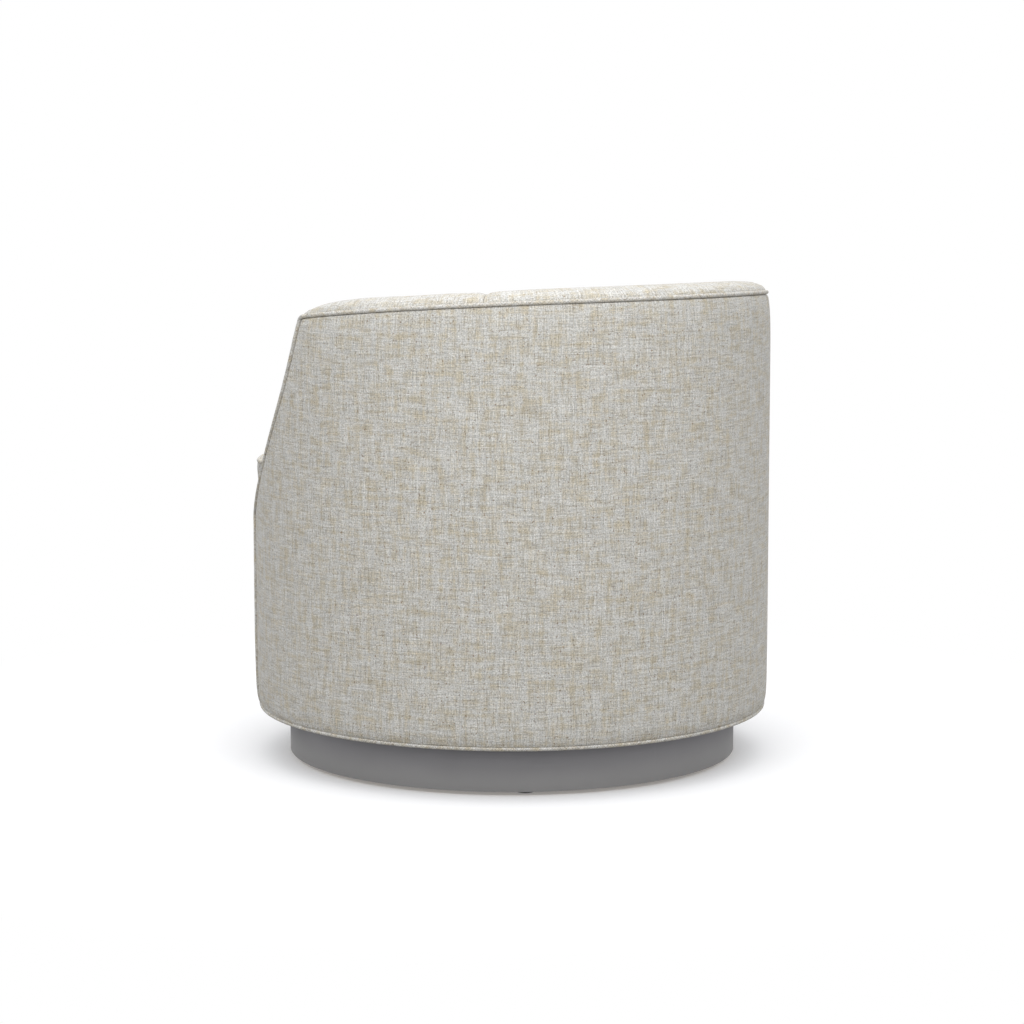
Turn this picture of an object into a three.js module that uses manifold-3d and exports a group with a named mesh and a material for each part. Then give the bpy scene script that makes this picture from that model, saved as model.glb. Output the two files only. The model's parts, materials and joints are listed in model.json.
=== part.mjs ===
// Swivel barrel chair: an upholstered barrel that turns on a ball-bearing plate in a round plinth.
// Millimetres, +Z up. The origin is on the floor under the swivel axis and the seat faces -Y.
// Turns are angles round the axis, counted from the middle of the back towards the sitter's left.
import * as THREE from "three";
import { mergeVertices } from "three/addons/utils/BufferGeometryUtils.js";
import Module from "manifold-3d";

const wasm = await Module();
wasm.setup();

const degrees = THREE.MathUtils.degToRad;
const clamp = THREE.MathUtils.clamp;
const mix = THREE.MathUtils.lerp;

// Fits
const clearance = 0.3; // between pieces that touch
const layerGap = 0.8; // between nested curved layers, whose facets differ
const overrun = 1; // how far a cutting tool runs past a face, and how deep joined solids meet
const weld = 0.001; // corners closer than this are one

// Barrel outline
const barrelRadius = 396.8; // outside face of the cover
const coverBottom = 82.1;
const rimHeight = 720; // rim seam at the middle of the back
const rimDrop = 32; // fall of the rim seam from the back to the front of an arm
const rimPower = 2.2;
const armTopTurn = degrees(90); // front edge of the outside at the rim
const frontTurn = degrees(121); // front edge of the outside below the knee
const kneeHeight = 375; // where the front edge starts to sweep back
const edgePower = 1.8;
const edgeStraightShare = 0.35; // of the sweep that is even, the rest is a curve
const edgeSetback = 3.5; // cover behind the front edge, where the welt lies
const padSetback = 4.3; // inside pads behind it, which leaves room for the front pads
const rimTuck = 5.2; // how far the cover draws in at the rim
const rimTuckReach = 21;
const hemTuck = 1.8; // how far the cover draws in at the hem
const hemTuckReach = 30;

// Cover, boards and welts
const coverThickness = 5; // fabric over wadding
const boardThickness = 5;
const weltRadius = 3;
const weltProud = 0.9; // how far the centre of the rim welt lies outside the cover's face
const hemWeltInset = 6.6; // from the cover's face to the centre of the hem welt

// Frame
const baseBoardThickness = 18;
const railThickness = 35; // posts and top rail
const topRailDepth = 42;
const postWidth = 45;
const frontPostInset = 8; // front post behind the front edge
const backPostTurn = degrees(30);
const armPostTurn = degrees(68);
const railTop = 339.4; // top of the seat rails
const hoopDepth = 40;
const hoopThickness = 32;
const frontRailDepth = 85;
const frontRailThickness = 26;
const backRailInset = 150; // from the inside of the posts to the rail that holds the springs at the back
const frontRailInset = 75; // and to the one at the front
const springRailThickness = 30;

// Springs and clips
const springCount = 4;
const springMargin = 30; // from the end of the front spring rail to the middle of the outer springs
const springWire = 1.9; // radius of the wire
const springBends = 12;
const springHalfWidth = 18;
const springBelowRail = 9; // wire ends below the top of the rails
const springCrown = 6.5; // rise of a spring between its ends
const clipWall = 1.5;
const clipWidth = 16;
const clipSlack = 0.4;

// Soft pieces
const deckThickness = 12;
const padThickness = 46; // inside arms
const backLean = 75; // how much thicker the inside back is at the seat
const padSwell = 1.5;
const padHollow = 0.5; // how far the back of a pad sits off the board at mid height
const leanTurn = degrees(84); // where the thicker back has run out
const seamTurn = degrees(44); // seams between inside back and inside arms
const seamGap = 0.8;
const seamValley = 2.5;
const seamValleyReach = 9;
const rollRise = 18.5; // crest of the top roll over the rim seam
const rollDepth = 60; // how far below the rim the pad follows it
const rollUnder = 6; // top of the frame below the rim seam
const cornerRound = 60; // length over which the roll falls at the front of an arm
const cornerShare = 0.3;
const frontPadTop = 5; // front pad over the rim seam

// Seat cushion
const cushionBoxing = 102.7; // from the deck to the upper welt
const cushionCrown = 24;
const cushionSetback = 9.8; // round front behind the barrel's face
const cushionFit = 14; // from the boxing to the inside pads, which leaves room for the welts
const notchTurn = degrees(120); // last turn beside the arms, the ears start at the next
const notchStep = degrees(5);
const earStartShare = 0.965;
const earSpread = degrees(40); // how far round the ears the lean fades out
const cushionSegments = 72;
const weltInset = 8; // lower cushion welt above the deck

// Plinth
const plinthRadius = 345.6;
const plinthTop = 74;
const floorGap = 6;
const bandThickness = 1.2;
const hoopWall = 18; // wooden hoop inside the band
const footRingWidth = 55;
const footRingThickness = 31.7;
const plinthBoardThickness = 18;
const baseTurn = degrees(10.5); // the chair is turned this much on its base

// Glides
const glideCount = 4;
const glideRadius = 15;
const glideInset = 31.6; // from the plinth's face to the middle of a glide
const glideStem = 3.5;
const glideStemLength = 20;

// Swivel
const plateSide = 260;
const plateThickness = 3;
const plateHole = 38;
const swivelHeight = 22;
const ballCount = 12;
const ballRadius = 5;
const ballCircle = 115; // radius of the ball track
const ballPlay = 0.9; // between the balls and their grooves
const raceWidth = 22;
const cageWidth = 14;
const cageThickness = 1.6;
const screwPlace = 108; // from the axis along X and along Y
const screwShank = 3;
const screwHead = 6;
const screwHeadHeight = 3;
const screwLength = 13;

// Dust cover
const dustThickness = 1.2;
const dustInner = 190;
const dustRim = 2; // dust cover inside the frame's edge

// Rows of facets, as shares of the height of a piece
const coverRowShares = [0, 0.06, 0.9, 0.965, 1];
const boardRowShares = [0, 0.9, 1];
const postRowShares = [0, 0.47, 0.575, 0.68, 0.785, 0.89, 1];
const padRowShares = [1, 0.82, 0.65, 0.48, 0.32, 0.17, 0.06]; // of the pad's height, from the rim down
const frontRowShares = [0, 0.15, 1];
const weltRiseShares = [0, 0.2, 0.4, 0.46, 0.5, 0.56, 0.63, 0.7, 0.79, 0.88, 0.95, 0.985]; // up a front edge

// Outlines of soft pieces, as pairs of shares: across or out, and up
const rollInnerShares = [
  [0.93, 0],
  [0.7, 0.6],
  [0.28, 0.95],
];
const rollOuterShares = [
  [0.2, 1],
  [0.59, 0.9],
  [0.88, 0.65],
];
const frontPadShares = [
  [0, 0],
  [0.03, 0.2],
  [0.12, 0.65],
  [0.3, 0.95],
  [0.58, 1],
  [0.78, 0.9],
  [0.91, 0.66],
  [1, 0.2],
  [1, 0],
];
const undersideShares = [0, 0.55, 0.96];
const boxingShares = [
  [0.982, 0.35],
  [0.982, 0.65],
];
const crownShares = [
  [0.95, 0.35],
  [0.82, 0.7],
  [0.6, 0.9],
  [0.3, 1],
  [0, 1],
];

// Counts of facets
const roundSegments = 48;
const wallSteps = 36;
const frontSteps = 20;
const edgeSteps = 16; // along the sweep of a front edge
const spaceSteps = 4;
const railSteps = 36;
const postSteps = 2;
const backPadSteps = 16;
const armPadSteps = 13;
const grooveSegments = 36;
const grooveSteps = 3;
const ballFacets = [6, 4];
const screwSides = 8;
const glideSides = 12;
const weltSides = 5;
const rimPoints = 11; // along each half of the rim
const rimWeltSteps = 88;
const wireSides = 4;
const stepsPerBend = 4;

// Rim seam from the front edges of the outside on
const sideRim = rimHeight - rimDrop;

// Heights that stack up from the floor
const footRingBottom = floorGap + clearance;
const plinthBoardBottom = footRingBottom + footRingThickness + clearance;
const plinthBoardTop = plinthBoardBottom + plinthBoardThickness;
const swivelBottom = plinthBoardTop + clearance;
const ballHeight = swivelBottom + swivelHeight / 2;
const baseBoardBottom = swivelBottom + swivelHeight + clearance;
const baseBoardTop = baseBoardBottom + baseBoardThickness;
const deckBottom = railTop + clearance;
const deckTop = deckBottom + deckThickness;
const padBottom = deckTop + clearance;

// Radii that nest from the outside face in
const plinthInner = plinthRadius - bandThickness - clearance - hoopWall - clearance; // inside its hoop
const shellInset = coverThickness + layerGap + boardThickness; // depth of cover and board
const frameRadius = barrelRadius - hemTuck - shellInset - layerGap; // base board and front rail
const railOuter = barrelRadius - rimTuck - shellInset - layerGap; // posts and top rail
const frameInner = railOuter - railThickness;
const hoopOuter = frameInner - layerGap;
const padBack = hoopOuter - boardThickness - layerGap; // back of the inside pads
const cushionRadius = barrelRadius - cushionSetback;

// The faces of the two spring rails towards the springs, and how far the rails reach sideways
const backSpringRailY = frameInner - backRailInset;
const frontSpringRailY = frontRailInset - frameInner;
const hoopInner = hoopOuter - hoopThickness;
const frontRailInner = frameRadius - frontRailThickness;
const frontRailReach = railReach(frontSpringRailY, frontRailInner);
const springPitch = (2 * (frontRailReach - springMargin)) / (springCount - 1);

// Height of the rim seam at a turn
function rimAt(turn) {
  const share = Math.min(Math.abs(turn) / armTopTurn, 1);
  return rimHeight - rimDrop * share ** rimPower;
}

// Turn of the front edge of the outside at a height
function edgeAt(height) {
  const below = 1 - clamp((height - kneeHeight) / (sideRim - kneeHeight), 0, 1);
  const sweep = mix(below ** edgePower, below, edgeStraightShare);
  return armTopTurn + (frontTurn - armTopTurn) * sweep;
}

// Outside face of the barrel, which draws in at the rim and at the hem
function outsideAt(height, turn) {
  const belowRim = Math.max(rimAt(turn) - height, 0);
  const aboveHem = Math.max(height - coverBottom, 0);
  const atRim = rimTuck * Math.exp(-belowRim / rimTuckReach);
  const atHem = hemTuck * Math.exp(-aboveHem / hemTuckReach);
  return barrelRadius - atRim - atHem;
}

// Heights of the points along the sweep of a front edge
const sweepHeights = Array.from({ length: edgeSteps + 1 }, (_, i) => mix(kneeHeight, sideRim, i / edgeSteps));

// Extra depth of the inside back, none beside the arms
function leanAt(turn) {
  const share = Math.min(Math.abs(turn) / leanTurn, 1);
  return backLean * Math.cos((share * Math.PI) / 2) ** 2;
}

// Moves each point of a straight solid to a place given as radius, turn and height
function bend(geometry, place) {
  const points = geometry.attributes.position;
  for (let i = 0; i < points.count; i += 1) {
    const [radius, turn, height] = place(points.getX(i), points.getY(i), points.getZ(i));
    points.setXYZ(i, radius * Math.sin(turn), radius * Math.cos(turn), height);
  }
  geometry.deleteAttribute("normal");
  geometry.deleteAttribute("uv");
  return geometry;
}

// A member that curves round the axis. inner and outer are functions of height and turn,
// from and to of height, bottom and top of turn.
function curvedMember({ inner, outer, from, to, bottom, top, rows = [0, 1], steps }) {
  const block = new THREE.BoxGeometry(1, 1, 1, 1, rows.length - 1, steps);
  return bend(block, (x, y, z) => {
    const up = rows[Math.round((y + 0.5) * (rows.length - 1))];
    const level = mix(bottom(armTopTurn), top(armTopTurn), up);
    const turn = mix(from(level), to(level), z + 0.5);
    const height = mix(bottom(turn), top(turn), up);
    return [mix(inner(height, turn), outer(height, turn), x + 0.5), turn, height];
  });
}

// A turned ring or disc from a closed outline of radius and height
function turned(outline, segments) {
  const profile = outline.map(([radius, height]) => new THREE.Vector2(radius, height));
  const onAxis = outline[0][0] === 0 && outline[outline.length - 1][0] === 0;
  if (!onAxis) profile.push(profile[0].clone());
  return new THREE.LatheGeometry(profile, segments).rotateX(Math.PI / 2);
}

function ring(inner, outer, bottom, top, segments = roundSegments) {
  const outline = [
    [inner, bottom],
    [outer, bottom],
    [outer, top],
    [inner, top],
  ];
  return turned(outline, segments);
}

function disc(radius, bottom, top, segments = roundSegments) {
  const outline = [
    [0, bottom],
    [radius, bottom],
    [radius, top],
    [0, top],
  ];
  return turned(outline, segments);
}

function solidOf(geometry) {
  const bare = geometry.index ? geometry.toNonIndexed() : geometry.clone();
  bare.deleteAttribute("normal");
  bare.deleteAttribute("uv");
  const merged = mergeVertices(bare, weld);
  const vertProperties = new Float32Array(merged.attributes.position.array);
  const triVerts = new Uint32Array(merged.index.array);
  return new wasm.Manifold(new wasm.Mesh({ numProp: 3, vertProperties, triVerts }));
}

function geometryOf(solid) {
  const { vertProperties, triVerts } = solid.getMesh();
  const geometry = new THREE.BufferGeometry();
  geometry.setAttribute("position", new THREE.BufferAttribute(vertProperties, 3));
  geometry.setIndex(new THREE.BufferAttribute(triVerts, 1));
  return geometry;
}

// The mirror image on the sitter's other side, with its faces turned back outwards
function mirrored(geometry) {
  const image = mergeVertices(geometry.clone(), weld).scale(-1, 1, 1);
  image.setIndex([...image.index.array].reverse());
  return image;
}

function cut(geometry, tools) {
  return geometryOf(tools.reduce((left, tool) => left.subtract(solidOf(tool)), solidOf(geometry)));
}

function join(geometry, others) {
  return geometryOf(others.reduce((whole, other) => whole.add(solidOf(other)), solidOf(geometry)));
}

// Materials
function finish(color, roughness, metalness = 0) {
  return new THREE.MeshStandardMaterial({ color, roughness, metalness });
}

const fabric = () => finish(0xc4c1b8, 0.92);
const steelWrap = () => finish(0x8c8b8c, 0.35, 1);
const zincSteel = () => finish(0x9a9c9e, 0.45, 1);
const springSteel = () => finish(0x55585c, 0.4, 1);
const birchPly = () => finish(0xc9a878, 0.7);
const beech = () => finish(0xb98d5f, 0.65);
const fibreboard = () => finish(0x8b6b48, 0.85);
const deckCloth = () => finish(0xc7c2b8, 0.95);
const cambric = () => finish(0x26262a, 0.95);
const nylon = () => finish(0x1c1c1e, 0.5);

function part(name, geometry, material) {
  const mesh = new THREE.Mesh(geometry, material);
  mesh.name = name;
  return mesh;
}

// The sitter's right-hand piece is the mirror image of the left-hand one
function pair(name, geometry, material) {
  const left = part(`${name}_left`, geometry, material());
  const right = part(`${name}_right`, geometry, material());
  right.scale.x = -1;
  return [left, right];
}

// Screws stand at the four corners of the swivel plates
const corners = [
  [1, 1],
  [-1, 1],
  [-1, -1],
  [1, -1],
];

function screw() {
  const outline = [
    [0, -screwLength],
    [screwShank, -screwLength + screwShank],
    [screwShank, 0],
    [screwHead, 0],
    [screwHead, screwHeadHeight / 2],
    [screwHead / 2, screwHeadHeight],
    [0, screwHeadHeight],
  ];
  return turned(outline, screwSides);
}

function screwHoles(bottom, top) {
  return corners.map(([x, y]) => {
    const hole = disc(screwShank + 2 * clearance, bottom, top, screwSides);
    return hole.translate(x * screwPlace, y * screwPlace, 0);
  });
}

function glidePlaces() {
  return Array.from({ length: glideCount }, (_, i) => {
    const turn = ((i + 0.5) / glideCount) * 2 * Math.PI;
    return [(plinthRadius - glideInset) * Math.sin(turn), (plinthRadius - glideInset) * Math.cos(turn)];
  });
}

function glide() {
  const outline = [
    [0, 0],
    [glideRadius - overrun, 0],
    [glideRadius, overrun],
    [glideRadius, floorGap - clearance],
    [glideStem, floorGap - clearance],
    [glideStem, floorGap + glideStemLength],
    [0, floorGap + glideStemLength],
  ];
  return turned(outline, glideSides);
}

function footRing() {
  const top = footRingBottom + footRingThickness;
  const holes = glidePlaces().map(([x, y]) => {
    const depth = floorGap + glideStemLength + overrun;
    return disc(glideStem + 2 * clearance, footRingBottom - overrun, depth, screwSides).translate(x, y, 0);
  });
  return cut(ring(plinthInner - footRingWidth, plinthInner, footRingBottom, top), holes);
}

function plinthBoard() {
  const board = disc(plinthInner, plinthBoardBottom, plinthBoardTop);
  return cut(board, screwHoles(plinthBoardBottom - overrun, plinthBoardTop + overrun));
}

// Half of the swivel: a square plate with a ring whose groove holds the balls from below
function swivelPlate() {
  const top = swivelBottom + plateThickness;
  const square = new THREE.BoxGeometry(plateSide, plateSide, plateThickness);
  square.translate(0, 0, swivelBottom + plateThickness / 2);
  const raceTop = ballHeight - cageThickness / 2 - overrun;
  const groove = ballRadius + ballPlay;
  const lip = Math.asin((ballHeight - raceTop) / groove);
  const arc = Array.from({ length: grooveSteps + 1 }, (_, i) => {
    const angle = mix(lip, Math.PI - lip, i / grooveSteps);
    return [ballCircle + groove * Math.cos(angle), ballHeight - groove * Math.sin(angle)];
  });
  const outline = [
    [ballCircle - raceWidth / 2, top - overrun],
    [ballCircle + raceWidth / 2, top - overrun],
    [ballCircle + raceWidth / 2, raceTop],
    ...arc,
    [ballCircle - raceWidth / 2, raceTop],
  ];
  const hole = disc(plateHole, swivelBottom - overrun, top + overrun, 2 * ballCount);
  const holes = [hole, ...screwHoles(swivelBottom - overrun, top + overrun)];
  return join(cut(square, holes), [turned(outline, grooveSegments)]);
}

function ballRing() {
  const low = ballHeight - cageThickness / 2;
  const inner = ballCircle - cageWidth / 2;
  const cage = ring(inner, inner + cageWidth, low, low + cageThickness, 2 * ballCount);
  const balls = Array.from({ length: ballCount }, (_, i) => {
    const turn = (i / ballCount) * 2 * Math.PI;
    const ball = new THREE.SphereGeometry(ballRadius, ...ballFacets).rotateX(Math.PI / 2);
    return ball.translate(ballCircle * Math.sin(turn), ballCircle * Math.cos(turn), ballHeight);
  });
  return join(cage, balls);
}

function plinth() {
  const base = new THREE.Group();
  base.rotation.z = baseTurn;
  const hoopRadius = plinthInner + clearance + hoopWall;
  base.add(
    part("plinth_band", ring(hoopRadius + clearance, plinthRadius, floorGap, plinthTop), steelWrap()),
    part("plinth_hoop", ring(hoopRadius - hoopWall, hoopRadius, floorGap, plinthTop - overrun), birchPly()),
    part("plinth_foot_ring", footRing(), birchPly()),
    part("plinth_top_board", plinthBoard(), birchPly()),
    part("swivel_lower_plate", swivelPlate(), zincSteel()),
  );
  glidePlaces().forEach(([x, y], i) => {
    const foot = part(`floor_glide_${i + 1}`, glide(), nylon());
    foot.position.set(x, y, 0);
    base.add(foot);
  });
  corners.forEach(([x, y], i) => {
    const fixing = part(`lower_screw_${i + 1}`, screw(), zincSteel());
    fixing.position.set(x * screwPlace, y * screwPlace, swivelBottom + plateThickness + clearance);
    base.add(fixing);
  });
  return base;
}

function upperSwivel() {
  const turning = new THREE.Group();
  const plate = part("swivel_upper_plate", swivelPlate(), zincSteel());
  plate.position.z = 2 * ballHeight;
  plate.scale.z = -1;
  turning.add(plate);
  corners.forEach(([x, y], i) => {
    const bolt = part(`upper_bolt_${i + 1}`, screw(), zincSteel());
    const seat = 2 * ballHeight - swivelBottom - plateThickness - clearance;
    bolt.position.set(x * screwPlace, y * screwPlace, seat);
    bolt.rotation.x = Math.PI;
    turning.add(bolt);
  });
  return turning;
}

function baseBoard() {
  const board = disc(frameRadius, baseBoardBottom, baseBoardTop);
  return cut(board, screwHoles(baseBoardBottom - overrun, baseBoardTop + overrun));
}

const always = (value) => () => value;

function post(turn) {
  const half = postWidth / 2 / frameRadius;
  const foot = baseBoardTop + clearance;
  return curvedMember({
    inner: always(frameInner),
    outer: always(railOuter),
    from: always(turn - half),
    to: always(turn + half),
    bottom: always(foot),
    top: (at) => rimAt(at) - rollUnder - clearance - topRailDepth - clearance,
    steps: postSteps,
  });
}

function frontPost() {
  return curvedMember({
    inner: always(frameInner + clearance),
    outer: always(railOuter),
    from: (height) => edgeAt(height) - (frontPostInset + postWidth) / frameRadius,
    to: (height) => edgeAt(height) - frontPostInset / frameRadius,
    bottom: always(baseBoardTop + clearance),
    top: (turn) => rimAt(turn) - rollUnder - clearance,
    rows: postRowShares,
    steps: postSteps,
  });
}

function topRail() {
  const end = (height) => edgeAt(height) - (frontPostInset + postWidth + clearance) / frameInner;
  return curvedMember({
    inner: always(frameInner),
    outer: always(railOuter),
    from: (height) => -end(height),
    to: end,
    bottom: (turn) => rimAt(turn) - rollUnder - clearance - topRailDepth,
    top: (turn) => rimAt(turn) - rollUnder - clearance,
    steps: railSteps,
  });
}

function seatHoop() {
  const end = frontTurn - frontPostInset / frameRadius;
  return curvedMember({
    inner: always(hoopInner),
    outer: always(hoopOuter),
    from: always(-end),
    to: always(end),
    bottom: always(railTop - hoopDepth),
    top: always(railTop),
    steps: railSteps,
  });
}

function frontRail() {
  const start = frontTurn - (frontPostInset - clearance) / frameRadius;
  return curvedMember({
    inner: always(frontRailInner),
    outer: always(frameRadius),
    from: always(start),
    to: always(2 * Math.PI - start),
    bottom: always(railTop - frontRailDepth),
    top: always(railTop),
    steps: frontSteps,
  });
}

// How far a straight rail across the seat reaches to a curved rail of a radius
function railReach(near, radius) {
  const far = Math.abs(near) + springRailThickness;
  return Math.sqrt((radius - layerGap) ** 2 - far ** 2);
}

function springRail(near, away, radius) {
  const rail = new THREE.BoxGeometry(2 * railReach(near, radius), springRailThickness, hoopDepth);
  return rail.translate(0, near + (away * springRailThickness) / 2, railTop - hoopDepth / 2);
}

// The space in front of the left arm, as a tool that cuts the walls along the sloping edge
function frontSpace(setback) {
  const low = coverBottom - overrun;
  const high = rimHeight + rollRise + overrun;
  return curvedMember({
    inner: always(padBack - padThickness - padSwell - overrun),
    outer: always(barrelRadius + weltRadius),
    from: (height) => edgeAt(height) - setback / barrelRadius,
    to: always(frontTurn + cornerRound / barrelRadius),
    bottom: always(low),
    top: always(high),
    rows: [low, ...sweepHeights, high].map((height) => (height - low) / (high - low)),
    steps: spaceSteps,
  });
}

// A wall of the barrel from one front edge round the back to the other
function barrelWall({ setback, ...shape }) {
  const wall = curvedMember({ from: always(-frontTurn), to: always(frontTurn), steps: wallSteps, ...shape });
  const space = frontSpace(setback);
  return cut(wall, [space, mirrored(space)]);
}

function outsideCover() {
  return barrelWall({
    inner: (height, turn) => outsideAt(height, turn) - coverThickness,
    outer: outsideAt,
    bottom: always(coverBottom),
    top: rimAt,
    rows: coverRowShares,
    setback: edgeSetback,
  });
}

function outsideBoard() {
  return barrelWall({
    inner: (height, turn) => outsideAt(height, turn) - shellInset,
    outer: (height, turn) => outsideAt(height, turn) - coverThickness - layerGap,
    bottom: always(coverBottom + overrun),
    top: (turn) => rimAt(turn) - overrun,
    rows: boardRowShares,
    setback: edgeSetback,
  });
}

function insideBoard() {
  return barrelWall({
    inner: always(hoopOuter - boardThickness),
    outer: always(hoopOuter),
    bottom: always(railTop + clearance),
    top: (turn) => rimAt(turn) - rollUnder - clearance,
    setback: frontPostInset,
  });
}

function frontBoard() {
  const start = frontTurn + clearance / frameRadius;
  return curvedMember({
    inner: (height) => outsideAt(height, Math.PI) - shellInset,
    outer: (height) => outsideAt(height, Math.PI) - coverThickness - layerGap,
    from: always(start),
    to: always(2 * Math.PI - start),
    bottom: always(coverBottom + overrun),
    top: always(railTop),
    rows: frontRowShares,
    steps: frontSteps,
  });
}

function frontCover() {
  const start = frontTurn + (2 * weltRadius + 2 * layerGap) / barrelRadius;
  return curvedMember({
    inner: (height) => outsideAt(height, Math.PI) - coverThickness,
    outer: (height) => outsideAt(height, Math.PI),
    from: always(start),
    to: always(2 * Math.PI - start),
    bottom: always(coverBottom),
    top: always(deckTop),
    rows: frontRowShares,
    steps: frontSteps,
  });
}

// The inside pads: a thick inner face, and a roll over the top rail out to the rim welt.
// X runs out from the back of the pad and Y up from the rim seam.
function padOutline() {
  const nominal = rimHeight - padBottom;
  const railReach = railOuter - padBack;
  const rollReach = barrelRadius - rimTuck - 2 * weltRadius + weltProud - padBack + overrun;
  const face = padRowShares.map((share) => {
    const swell = padSwell * Math.sin(share * Math.PI);
    return [-padThickness - swell, -nominal * share];
  });
  const back = padRowShares.slice(1).map((share) => {
    return [-padHollow * Math.sin(share * Math.PI), -nominal * share];
  });
  return [
    [0, -nominal],
    ...face,
    ...rollInnerShares.map(([along, up]) => [-padThickness * along, rollRise * up]),
    ...rollOuterShares.map(([along, up]) => [rollReach * along, rollRise * up]),
    [rollReach - overrun, weltRadius],
    [rollReach, layerGap],
    [railReach, layerGap],
    [railReach, -rollUnder],
    [0, -rollUnder],
    ...back.reverse(),
  ];
}

// Roll height as a share: it dips at the seams and falls off at the front of the arms
function rollShare(turn, edge) {
  const fromSeam = ((Math.abs(turn) - seamTurn) * barrelRadius) / seamValleyReach;
  const valley = (seamValley / rollRise) * Math.exp(-(fromSeam ** 2));
  const along = clamp(((edge - Math.abs(turn)) * barrelRadius) / cornerRound, 0, 1);
  return (cornerShare + (1 - cornerShare) * Math.sin((along * Math.PI) / 2)) * (1 - valley);
}

function insidePad(from, to, steps) {
  const nominal = rimHeight - padBottom;
  const outline = new THREE.Shape(padOutline().map(([x, y]) => new THREE.Vector2(x, y)));
  const straight = new THREE.ExtrudeGeometry(outline, { depth: 1, steps, bevelEnabled: false });
  return bend(straight, (x, y, z) => {
    const low = Math.min((y + nominal) / (nominal - rollDepth), 1);
    const over = Math.max(y + rollDepth, 0);
    const level = mix(padBottom, sideRim - rollDepth, low) + over;
    const edge = edgeAt(level);
    const turn = mix(from, to, z);
    const rim = rimAt(turn);
    const roll = y > 0 ? y * (rollShare(turn, edge) - 1) : 0;
    const height = mix(padBottom, rim - rollDepth, low) + over + roll;
    const up = clamp((height - padBottom) / (rim - padBottom), 0, 1);
    const depth = x < 0 ? x * (1 + (leanAt(turn) * (1 - up)) / padThickness) : x;
    return [padBack + depth, turn, height];
  });
}

// The padded front of an arm, from the inner face to the welt
function armFrontPad() {
  const inner = padBack - padThickness;
  const outer = barrelRadius + weltProud - weltRadius - 2 * layerGap;
  const width = outer - inner;
  const outline = new THREE.Shape(frontPadShares.map(([x, y]) => new THREE.Vector2(x, y)));
  const top = sideRim + frontPadTop;
  const heights = [padBottom, ...sweepHeights.filter((height) => height > padBottom), top].reverse();
  const steps = heights.length - 1;
  const straight = new THREE.ExtrudeGeometry(outline, { depth: 1, steps, bevelEnabled: false });
  return bend(straight, (x, y, z) => {
    const height = heights[Math.round(z * steps)];
    const toTop = clamp((top - height) / cornerRound, 0, 1);
    const swell = mix(cornerShare, 1, Math.sin((toTop * Math.PI) / 2));
    const tuck = barrelRadius - outsideAt(Math.min(height, sideRim), armTopTurn);
    const radius = inner + x * (width - tuck);
    const forward = layerGap + y * rollRise * swell;
    return [radius, edgeAt(height) + forward / radius, height];
  });
}

// Plan of the loose cushion: inside the arms and the back, then out to the round front
function cushionPlan(turn) {
  const off = Math.abs(turn);
  const step = (off - notchTurn) / notchStep;
  if (step < 0.5) return padBack - padThickness - padSwell - leanAt(turn) - cushionFit;
  return step < 1.5 ? cushionRadius * earStartShare : cushionRadius;
}

// The start of the ears leans with the sloping front of the arms and clears their front pads
function earTurn(turn, height) {
  const fade = clamp(1 - Math.abs(Math.abs(turn) - notchTurn) / earSpread, 0, 1);
  const slope = frontTurn - edgeAt(height);
  const pad = (rollRise + cushionFit) / cushionRadius;
  return turn + Math.sign(turn) * (pad - slope) * Math.sin((fade * Math.PI) / 2);
}

function cushionPlace(turn, share, height) {
  return [share * cushionPlan(turn), earTurn(turn, height), height];
}

function cushion() {
  const bottom = deckTop + clearance;
  const welt = deckTop + cushionBoxing;
  // Flat underneath, boxing drawn in between the two welts, and a crown
  const profile = [
    ...undersideShares.map((out) => [out, bottom]),
    [1, bottom + weltInset],
    ...boxingShares.map(([out, up]) => [out, mix(bottom, welt, up)]),
    [1, welt],
    ...crownShares.map(([out, up]) => [out, welt + cushionCrown * up]),
  ];
  const plain = turned(profile, cushionSegments);
  return bend(plain, (x, y, z) => cushionPlace(Math.atan2(x, y), Math.hypot(x, y), z));
}

function at(radius, turn, height) {
  return new THREE.Vector3(radius * Math.sin(turn), radius * Math.cos(turn), height);
}

// A solid cord or wire of a radius along a curve
function tube(radius, sides, extrudePath, steps) {
  const section = Array.from({ length: sides }, (_, i) => {
    const angle = (i / sides) * 2 * Math.PI;
    return new THREE.Vector2(radius * Math.cos(angle), radius * Math.sin(angle));
  });
  return new THREE.ExtrudeGeometry(new THREE.Shape(section), { steps, extrudePath, bevelEnabled: false });
}

function weltTube(points, steps) {
  return tube(weltRadius, weltSides, new THREE.CatmullRomCurve3(points, false, "centripetal"), steps);
}

// One welt runs up the left front edge, round the rim and down the right front edge
function rimWelt() {
  const half = weltRadius + layerGap;
  const up = weltRiseShares.map((share) => {
    const height = mix(coverBottom + weltRadius, sideRim, share);
    const turn = edgeAt(height) + half / barrelRadius;
    return at(outsideAt(height, armTopTurn) + weltProud, turn, height);
  });
  const round = Array.from({ length: rimPoints }, (_, i) => {
    const turn = armTopTurn * (1 - i / rimPoints) - half / barrelRadius;
    return at(outsideAt(rimAt(turn), turn) - weltProud, turn, rimAt(turn) + half);
  });
  const diagonal = half * Math.SQRT1_2;
  const cornerTurn = armTopTurn + diagonal / barrelRadius;
  const corner = at(outsideAt(sideRim, armTopTurn), cornerTurn, sideRim + diagonal);
  const left = [...up, corner, ...round];
  const crest = at(outsideAt(rimHeight, 0) - weltProud, 0, rimHeight + half);
  const right = left.map((point) => new THREE.Vector3(-point.x, point.y, point.z)).reverse();
  return weltTube([...left, crest, ...right], rimWeltSteps);
}

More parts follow.
